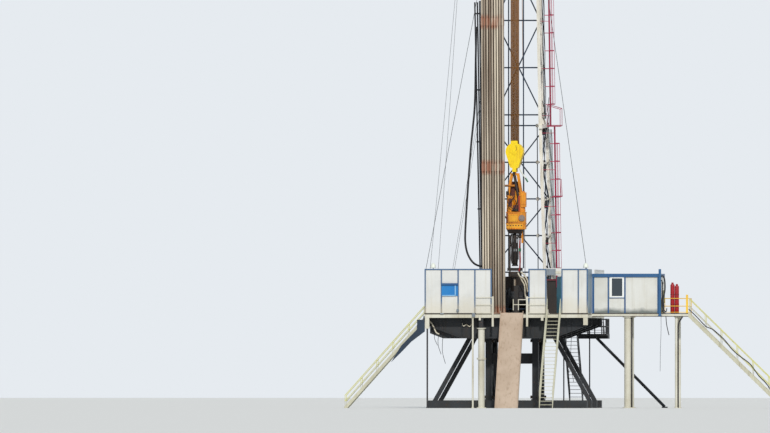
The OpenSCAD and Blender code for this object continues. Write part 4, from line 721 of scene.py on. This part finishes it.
def lower_half(z):
    """Half the width between the front chords of the lower section, which narrows upwards."""
    return 0.945 - 0.15 * (z - 0.06) / (lower_l - 0.06)


def upper_half(z):
    """Half the width between the chords of the upper section."""
    return 0.775 - 0.135 * (z - lower_l) / (mast_l - lower_l)


def leg_plates(x, y, z):
    """Plates on both legs at the lower levels: x from and to count from the front chord, z from the level."""
    rows = [(*sorted(side * (lower_half(level) + np.array(x))), *y, *(level + np.array(z)))
            for level in lower_levels[1:] for side in (-1, 1)]
    return mast_shape(blocks(*rows))


# Gusset plates where levels and diagonals meet the chords, outside both side faces, with four bolts each
rear_step = 0.11  # the rear chords of the lower section stand this much further out
lower_joints = [(s * (lower_half(z) + (rear_step if y > 0 else 0.0)), y * lower_depth, z)
                for z in lower_levels[1:] for y in (-1, 1) for s in (-1, 1)]
upper_joints = [(s * upper_half(z), y * upper_depth, z)
                for z in upper_levels for y in (-1, 1) for s in (-1, 1)]
joint_x, joint_y, joint_z = np.array(lower_joints + upper_joints).T
side, inward = np.sign(joint_x), -np.sign(joint_y)
plate_back = joint_x + side * 0.052
plate_face = plate_back + side * 0.010
corner_a = np.stack([plate_back, joint_y - inward * 0.03, joint_z - 0.10], 1)
corner_b = np.stack([plate_face, joint_y + inward * 0.17, joint_z + 0.10], 1)
gussets = boxes(np.minimum(corner_a, corner_b), np.maximum(corner_a, corner_b))
make("mast_gussets", mast_shape(gussets), mast_paint, "mast_white")
bolt_y, bolt_z = np.array([(dy, dz) for dy in (0.02, 0.12) for dz in (-0.07, 0.07)]).T
bolts = np.stack(np.broadcast_arrays(plate_face[:, None], joint_y[:, None] + bolt_y * inward[:, None],
                                     joint_z[:, None] + bolt_z), -1).reshape(-1, 3)
bolt_ends = bolts + np.repeat(side, 4)[:, None] * [0.014, 0, 0]
make("mast_bolts", mast_shape(rods(bolts, bolt_ends, 0.013, 6)), forged_steel, "forged_steel")

# Pale plates where the upright crosses the rear beams, navy plates at the beams' ends, and black stiffening
# plates between the chords of each leg, right under the level beams
crossings = blocks(*[(0.548, 0.642, 0.452, 0.463, z - 0.055, z + 0.055) for z in lower_levels[2:]])
make("brace_crossing_plates", mast_shape(crossings), mast_paint, "mast_white")
make("brace_end_plates", leg_plates((-0.115, 0.035), (0.44, 0.452), (-0.07, 0.07)), navy_paint, "brace_navy")
make("leg_stiffeners", leg_plates((0.005, 0.105), (-0.02, 0.02), (-0.29, -0.04)), dark_paint, "black_paint")

# Channel stiles over the ladder's flats, as deep as the real ones
stiles = np.array([[(x_low, y, z_low), (x_high, y, z_high)]
                   for x_low, x_high, chord_y, z_low, z_high in ((1.300, 1.255, -lower_depth, 0.9, 6.2),
                                                                 (1.110, 1.010, -upper_depth, 6.19, 18.8))
                   for y in (chord_y, chord_y + 0.21)])
make("ladder_channels", mast_shape(rods(stiles[:, 0], stiles[:, 1], 0.017, 4)), ladder_paint, "ladder_red")


# %% [markdown]
# Power and signal cables climb the mast from clip to clip with some slack between. Slow waves give that
# sway, and each cable has its own phase, so that a bundle doesn't look like one ribbon.

# %% Cables along the mast
def cables(count, start, end, step, sway, phase, turns, radius=0.011):
    """Cables side by side along the mast, step apart in x at start and end. They sway between their clips:
    x and y are straight lines + sway * sin and cos."""
    runs = []
    for k in range(count):
        t = np.linspace(0, 1, 60)
        x, y, z = (np.outer(1 - t, start) + np.outer(t, end)).T
        x = x + k * (step[0] * (1 - t) + step[1] * t) + sway * np.sin(2 * math.pi * (turns * t + phase * k))
        y = y + sway * np.cos(2 * math.pi * (1.3 * turns * t + phase * k))
        runs.append(tube(in_mast(np.stack([x, y, z], 1)), radius, 6))
    return runs


grey_cables = cables(4, (1.135, 0.44, 0.1), (0.985, 0.42, 6.05), (0.03, 0.03), 0.007, 0.21, 5)
cable_grey = enamel("weathered cable sheath", "#9aa39f", "#868e8b", "#5b605c", 0.5, 0.1)
rubber("mast_cables_right", joined(*grey_cables), cable_grey)

# Dark ones: up both legs, a bundle on the standpipe's brackets, and two between the right chords
dark_cables = cables(3, (0.845, 0.30, 6.4), (0.72, 0.28, 18.6), (0.028, 0.024), 0.008, 0.3, 9)
dark_cables += cables(2, (-1.10, -0.30, 0.1), (-0.93, -0.28, 18.2), (-0.035, -0.03), 0.006, 0.17, 11)
dark_cables += cables(4, (-1.05, -0.38, 0.1), (-1.085, -0.27, 10.3), (-0.032, -0.04), 0.002, 0.23, 6, 0.0185)
dark_cables += cables(2, (1.015, 0.0, 0.1), (0.865, 0.0, 6.1), (-0.025, -0.025), 0.012, 0.31, 7)
rubber("mast_cables_dark", joined(*dark_cables), hose_rubber)
loop = np.array([[0.8, 0.24, 0.25], [0.86, 0.2, 0], [0.93, 0.22, -0.2], [0.98, 0.28, 0.1], [1, 0.34, 0.35]])
loops = [bent(in_mast(loop + [0, 0, z]), 0.010, 6, 6) for z in (5.95, 6.35, 6.75)]
rubber("mast_cable_loops", joined(*loops), hose_rubber)

# Thin lines: escape and tugger lines from the racking board and the left leg down to the wall's top
board_z = local_box("racking_board")[0][2]
thin_lines = np.array([[[-2.235, -2.70, wall_top], [-1.65, -0.62, board_z + 0.04]],
                       [[-1.758, -2.71, wall_top], [-0.845, 0.22, 12.2]],
                       [[-1.70, -2.71, wall_top], [-0.845, 0.24, 11.9]],
                       [[-2.50, -2.71, wall_top], [-1.65, -0.70, board_z + 0.04]]])
along = np.linspace(0, 1, 24)[:, None]
sag = [0, 0, 0.12] * np.sin(math.pi * along)
thin = [tube(a + (b - a) * along - sag, 0.0055, 5) for a, b in thin_lines]
make("tugger_lines", joined(*thin), rope_steel, "wire_rope", smooth=True)

# %% [markdown]
# ## Block and top drive
# Bolt circles, seams and guards give the hoisting gear its scale. Everything here rides on the travelling
# unit, so it stays clear of the guide rails and of the links' swing.

# %% Fittings of the travelling block
block_lo, block_hi = local_box("travelling_block")
axle_z, hook_z = block_hi[2] - 0.355, block_lo[2]
circle = np.linspace(0, 2 * math.pi, 8, endpoint=False) + 0.2
nut_x = np.concatenate([0.125 * np.cos(circle), [-0.2, 0.2, -0.23, 0.23, -0.11, 0.11, 0.0]])
nut_z = axle_z + np.concatenate([0.125 * np.sin(circle), [-0.16, -0.16, 0.09, 0.09, -0.42, -0.42, 0.27]])
nuts = []
for plate_y, out in ((block_lo[1] + 0.026, -1), (block_hi[1] - 0.026, 1)):
    seats = np.stack([nut_x, np.full(len(nut_x), plate_y), nut_z], 1)
    nuts.append(rods(seats - [0, out * 0.004, 0], seats + [0, out * 0.016, 0], 0.014, 6))
hoisted("block_nuts", joined(*nuts), block_paint, "block_yellow")
block_y = block_lo[1]
grease_line = bent([[0.03, block_y + 0.012, axle_z], [0.07, block_y + 0.008, axle_z + 0.06],
                    [0.06, block_y + 0.012, axle_z + 0.2]], 0.006, 6, 6)
hoisted("block_grease_line", grease_line, grease_black, "black_paint", smooth=True)

# %% [markdown]
# The top drive turns the string from above: motor, brake and pipe handler, with many hoses. The case is
# carried over; covers, seams and bolts stand a few millimetres proud of it and catch the light.

# %% Fittings of the top drive
bail_path = np.array([[-0.03, 1, 0.03], [0, 1.1, -0.2], [0.06, 1.25, -0.5], [0.12, 1.3, -0.78],
                      [0.14, 1.2, -0.95]])
bail = [bent(bail_path * [1, y, 1] + [0, 0, hook_z], 0.036, 10) for y in (-0.105, 0.105)]
hoisted("drive_bail", joined(*bail), grease_black, "black_paint", smooth=True)
case_y = -0.232
panel_paint = enamel("yellow-orange enamel on covers", "#f3b02c", "#e09a22", "#6b3a14", 0.6, 0.4, grain=2.0)
dark_red = enamel("dark red primer", "#6a2c18", "#50251a", "#1d1411", 0.6, 0.4)
red_paint = enamel("rust-red enamel", "#a8391d", "#93351d", "#4a2216", 0.5, 0.4)
covers = blocks((-0.19, 0.12, case_y - 0.012, case_y + 0.004, 6.095, 6.33),
                (-0.255, 0.275, case_y - 0.006, case_y + 0.002, 5.895, 6.05))
hoisted("drive_cover_plates", covers, panel_paint, "drive_orange")
seams = blocks((-0.20, -0.08, -0.14, -0.12, 6.60, 6.86), (-0.05, 0.12, -0.15, -0.13, 6.50, 6.64),
               (-0.255, 0.275, case_y - 0.008, case_y + 0.002, 6.052, 6.066),
               (-0.265, -0.215, case_y - 0.008, case_y + 0.002, 6.07, 6.37))
hoisted("drive_seams", seams, dark_red, "drive_orange")
slots = np.array([[x, case_y - 0.004, 5.973] for x in np.linspace(-0.215, 0.235, 6)])
hoisted("drive_slots", rods(slots, slots - [0, 0.006, 0], 0.026, 4), grease_black, "black_paint")
studs = np.array([[x, case_y - 0.012, z] for x in np.linspace(-0.17, 0.10, 5) for z in (6.115, 6.31)])
hoisted("drive_bolts", rods(studs, studs - [0, 0.012, 0], 0.009, 6), forged_steel, "forged_steel")
red_parts = blocks((-0.24, 0.10, case_y - 0.006, case_y + 0.004, 6.38, 6.41),
                   (0.13, 0.18, -0.19, -0.12, 6.43, 6.95))
hoisted("drive_red_parts", red_parts, red_paint, "drive_orange")
hoisted("drive_valve_box", blocks((-0.06, 0.11, -0.16, -0.13, 6.44, 6.53)), grease_black, "black_paint")
back_plates = blocks((-0.19, 0.17, 0.10, 0.118, 6.62, 7.42), (-0.13, 0.10, 0.02, 0.04, 6.62, 7.30))
hoisted("drive_back_plate", back_plates, dark_red, "drive_orange")
drive_hoses = joined(
    bent([[-0.22, -0.13, 6.98], [-0.24, -0.19, 6.8], [-0.16, -0.22, 6.62], [-0.02, -0.21, 6.50],
          [0.08, -0.19, 6.44]], 0.014),
    bent([[0.02, -0.14, 7.02], [-0.04, -0.2, 6.86], [-0.14, -0.21, 6.74], [-0.22, -0.19, 6.56],
          [-0.23, -0.17, 6.43]], 0.012),
    bent([[-0.14, -0.15, 7.02], [-0.02, -0.21, 6.88], [0.06, -0.2, 6.7], [0.0, -0.19, 6.55],
          [-0.1, -0.18, 6.44]], 0.012),
    bent([[0.15, -0.13, 7.0], [0.1, -0.2, 6.8], [0.13, -0.22, 6.6], [0.12, -0.2, 6.44]], 0.013))
rubber("drive_hoses", drive_hoses, hose_rubber, body="travelling_unit")
tilt_arm = joined(blocks((0.215, 0.275, -0.06, 0.02, 5.40, 5.66)),
                  upright(0.245, -0.02, 5.62, 5.86, 0.022, 10))
hoisted("link_tilt_arm", tilt_arm, drive_paint, "drive_orange")
whip = bent([[0.15, 0.0, hook_z + 0.12], [0.20, -0.03, hook_z + 0.02], [0.27, -0.03, hook_z - 0.09],
             [0.345, -0.03, hook_z - 0.2]], 0.02)
hoisted("block_whip_line", whip, lamp_white, "cream_paint", smooth=True)
green = enamel("green enamel on clamps", "#2f6e4a", "#2a5f42", "#22332a", 0.3, 0.2)
clamp = rods([0.345, -0.03, hook_z - 0.2], [0.425, -0.03, hook_z - 0.33], 0.026, 8)
hoisted("whip_clamp", clamp, green, "black_paint")

# Stabbing guide under the grabber and control hoses down the pipe handler, between the links
guide = lathe([[0, 4.875], [0.085, 4.875], [0.075, 4.80], [0.075, 4.74], [0.105, 4.66], [0.105, 4.645],
               [0, 4.645]], [0, 0, 0], 18)
down = [bent([[x, -0.10, 5.70], [x * 1.1, -0.145, 5.5], [x * 0.9, -0.15, 5.2], [x, -0.145, 4.9],
              [x * 0.8, -0.13, 4.72]], radius, 8, 6)
        for x, radius in ((-0.105, 0.018), (-0.06, 0.024), (-0.01, 0.018), (0.045, 0.024), (0.10, 0.018))]
hoisted("handler_hoses", joined(guide, *down), grease_black, "black_paint", smooth=True)

# The links carry the elevator and a red hose with its clamp, strapped to the right link's face
link_x, pivot_z = 0.165, 5.60
red_rubber = plain_metal("red hose rubber", "#a12a26", "#7c1f1e", 0.0, 0.55, 30.0)
link_hose = bent([[link_x + 0.004, -0.052, pivot_z - 0.10], [link_x - 0.008, -0.056, 5.2],
                  [link_x + 0.012, -0.056, 4.9], [link_x, -0.058, 4.62], [link_x - 0.03, -0.06, 4.47]], 0.024)
rubber("link_red_hose", link_hose, red_rubber, body="links")
link_clamp = blocks((link_x - 0.04, link_x + 0.04, -0.09, -0.03, 5.13, 5.23))
make("link_clamp", link_clamp, green, "black_paint", "links")
hinge = joined(upright(0.19, 0, 4.29, 4.47, 0.03, 10), upright(-0.19, 0, 4.29, 4.47, 0.03, 10),
               blocks((-0.09, 0.09, -0.2, -0.17, 4.33, 4.43), (-0.25, 0.25, -0.03, 0.03, 4.49, 4.59)))
make("elevator_hinge", hinge, grease_black, "black_paint", "links")

# %% [markdown]
# ## The crew's end: well centre and stairs
# Around the well centre hang the hydraulic hoses of the iron roughneck, more hoses hang from the girders
# under the floor, and a cable drapes along the right stair.

# %% Well centre
white_rubber = plain_metal("cream hose cover", "#d9d2c0", "#b3a98f", 0.0, 0.6, 14.0)
neck_hoses = joined(
    bent([[0.20, -0.98, 4.42], [0.27, -1.02, 4.30], [0.40, -1.03, 4.22], [0.48, -1.0, 4.02],
          [0.52, -0.96, 3.80]], 0.026),
    bent([[0.24, -0.98, 4.34], [0.34, -1.02, 4.16], [0.42, -1.04, 4.0], [0.44, -1.0, 3.7],
          [0.50, -0.95, 3.5]], 0.022),
    bent([[0.30, -1.0, 4.45], [0.42, -1.04, 4.34], [0.52, -1.04, 4.16], [0.57, -1.0, 3.9]], 0.024))
rubber("roughneck_hoses", neck_hoses, white_rubber)
tools = blocks((0.10, 0.24, -1.25, -1.0, floor_z, 4.0), (0.50, 0.72, -1.30, -1.0, floor_z, 3.62),
               (0.34, 1.35, 0.75, 1.05, floor_z, floor_z + 1.15))
make("floor_tools", tools, grease_black, "black_paint")

# The string hangs in slips in the table, and stands up to just under the elevator
string = lathe([[0, 2.92], [0.032, 2.92], [0.032, 3.98], [0.04, 4.02], [0.04, 4.22], [0.034, 4.25],
                [0, 4.25]], [0, 0, 0], 20)
slips = lathe([[0.034, 3.04], [0.12, 3.09], [0.12, 3.13], [0.07, 3.16], [0.034, 3.16]], [0, 0, 0], 20)
make("drill_string", string, stand_steel, "drill_pipe", smooth=True)
make("slips", slips, forged_steel, "forged_steel")

# Dark sheets close the rear of the floor behind the drawworks, and the fast line runs to the drum
rear_y = deck_hi[1] - 0.06
screen_z = (floor_z + 0.002, floor_z + 1.24)
screen_ribs = around(np.linspace(-0.84, 0.84, 9), 0.012)
rear_screen = joined(spans([-0.87, 0.87], (rear_y, rear_y + 0.02), screen_z),
                     spans(screen_ribs, (rear_y - 0.03, rear_y + 0.001), screen_z))
screen_paint = enamel("brown-black sheet", "#2a1f18", "#231a15", "#17110e", 0.6)
make("rear_screen", rear_screen, screen_paint, "substructure_steel")
drum_y = local_box("drawworks")[0][1] + 0.42
crown_lo, crown_hi = local_box("crown_sheaves")
sheave_z = (crown_lo[2] + crown_hi[2]) / 2
fast_line = rods([0.12, crown_hi[1] - 0.012, sheave_z], [0.10, drum_y, floor_z + 0.75], 0.009, 10)
make("fast_line", fast_line, greased_rope, "drilling_rope", smooth=True)

# %% [markdown]
# Hoses and cables sag under their own weight, so each is a smooth curve through a few points of its run.

# %% Cables and hoses of the stairs and girders
cable_y = local_box("right_stair")[0][1] - 0.012
drape = hung(cable_y, 0.016, (5.86, floor_z + 0.15), (6.12, 2.98), (6.42, 2.67), (6.67, 2.55), (7.03, 2.23),
             (7.25, 1.95), (7.48, 1.735), (7.87, 1.44), (8.15, 1.06), (8.40, 0.80), (8.62, 0.50))
rubber("stair_cable", drape, hose_rubber)
girder_hoses = joined(
    bent([[-2.55, -2.33, 2.84], [-2.47, -2.36, 2.74], [-2.40, -2.36, 2.60], [-2.34, -2.36, 2.47],
          [-2.24, -2.34, 2.41]], 0.022),
    bent([[-1.50, -2.33, 2.78], [-1.44, -2.37, 2.68], [-1.34, -2.37, 2.72], [-1.24, -2.36, 2.66],
          [-1.18, -2.34, 2.74]], 0.018))
rubber("girder_hoses", girder_hoses, white_rubber)
hanging = [bent([[x, -2.30, 2.93], [x + 0.05, -2.32, 2.6], [x + 0.02, -2.33, 2.3 - 0.2 * k],
                 [x + 0.12, -2.33, 2.05 - 0.3 * k]], 0.008, 6)
           for k, x in enumerate((-2.42, -2.3, -2.16, 1.9, 2.05))]
rubber("floor_hanging_cables", joined(*hanging), hose_rubber)
pins = np.array([[s * 0.767, y, z] for s in (-1, 1) for y in (-0.85, 0.85) for z in (0.36, 2.2)])
make("leg_pins", rods(pins - [0.17, 0, 0], pins + [0.17, 0, 0], 0.05, 14), forged_steel, "forged_steel")

# %% [markdown]
# ## The rotary hose
# A hose as thick as an arm carries mud from the standpipe's gooseneck to the top drive, with enough slack
# for the block's whole travel. It hangs in one plane, so its route is a smooth curve through x and z.

# %% Rotary hose
hose_route = np.array([
    [-1.275, 12.3], [-1.277, 12.0], [-1.29, 11.2], [-1.302, 10.4], [-1.325, 9.8], [-1.375, 9.25],
    [-1.44, 8.6], [-1.495, 7.9], [-1.545, 7.2], [-1.59, 6.5], [-1.625, 5.9], [-1.632, 5.45],
    [-1.56, 5.07], [-1.39, 4.78], [-1.165, 4.655], [-0.93, 4.69], [-0.73, 4.87], [-0.6, 5.17],
    [-0.53, 5.6], [-0.48, 6.1], [-0.445, 6.6], [-0.431, 6.95], [-0.43, 7.13]])
hose_plane_y = -0.06
hose_diameter = 0.066
hose_line = smooth_path(np.insert(hose_route, 1, hose_plane_y, axis=1), 10)
hose = rubber("rotary_hose_skin", tube(hose_line, hose_diameter / 2, 16), hose_rubber, body=None)
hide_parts("rotary_hose")
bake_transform(hose)

# %% [markdown]
# ## The drilling line
# Twelve parts of one wire rope run between the crown's sheaves and the travelling block. They shorten as
# the block rises.

# %% Drilling line
line_lo, line_hi = local_box("drilling_line")
line_d = 0.024
sheaves = 6
columns = np.linspace(line_lo[0] + line_d / 2, line_hi[0] - line_d / 2, sheaves)
# The rear parts lie on the other flank of each groove, because the line crosses over to the next sheave
front_flank, rear_flank = 0.006, -0.014
flanks = (line_lo[1] + line_d / 2, front_flank), (line_hi[1] - line_d / 2, rear_flank)
feet = np.array([[x + shift, y, line_lo[2]] for x in columns for y, shift in flanks])
line_l = line_hi[2] - line_lo[2]
line_parts = rods(feet, feet + [0, 0, line_l], line_d / 2, 12)
ropes = make("drilling_line_ropes", line_parts, greased_rope, "drilling_rope", smooth=True)
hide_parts("drilling_line")
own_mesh(ropes)

# %% [markdown]
# ## Floor, light and sky
# A pale floor and a pale sky keep attention on the rig. One broad sun from the front, a little to the
# right, gives the shading of the photograph, and the sky fills the shadows.

# %% Studio
floor_mesh = bpy.data.meshes.new("studio_floor")
reach = 400.0
corners = [(-reach, -reach, 0), (reach, -reach, 0), (reach, reach, 0), (-reach, reach, 0)]
floor_mesh.from_pydata(corners, [], [(0, 1, 2, 3)])
studio_floor = bpy.data.objects.new("studio_floor", floor_mesh)
bpy.context.scene.collection.objects.link(studio_floor)
floor_paint, _, floor_shader = blank("pale studio floor")
floor_shader.inputs["Base Color"].default_value = linear("#dcdcd8")
floor_shader.inputs["Roughness"].default_value = 0.9
floor_mesh.materials.append(floor_paint)

world = bpy.data.worlds.new("sky")
world.use_nodes = True
bpy.context.scene.world = world
sky_tree = world.node_tree
sky_tree.nodes.clear()
rays = add(sky_tree, "ShaderNodeLightPath")
seen = maths(sky_tree, "MAXIMUM", rays.outputs["Is Camera Ray"], rays.outputs["Is Glossy Ray"])
seen = maths(sky_tree, "MAXIMUM", seen, rays.outputs["Is Transmission Ray"])
fill = add(sky_tree, "ShaderNodeBackground", {"Color": linear("#dfe8f4"), "Strength": 0.62})
shown = add(sky_tree, "ShaderNodeBackground", {"Color": linear("#e6ebf0"), "Strength": 1.0})
sky = add(sky_tree, "ShaderNodeMixShader", {0: seen, 1: fill.outputs[0], 2: shown.outputs[0]})
add(sky_tree, "ShaderNodeOutputWorld", {"Surface": sky.outputs[0]})

sun = bpy.data.lights.new("sun", "SUN")
sun.energy = 2.4
sun.angle = math.radians(4)
sun.color = linear("#fffbf4")[:3]
sun_object = bpy.data.objects.new("sun", sun)
bpy.context.scene.collection.objects.link(sun_object)
sun_object.location = at(14.0, -60.0, 46.0)
turn_towards(sun_object, at(0.0, 0.0, 5.0))

bpy.context.scene.view_settings.view_transform = "Standard"
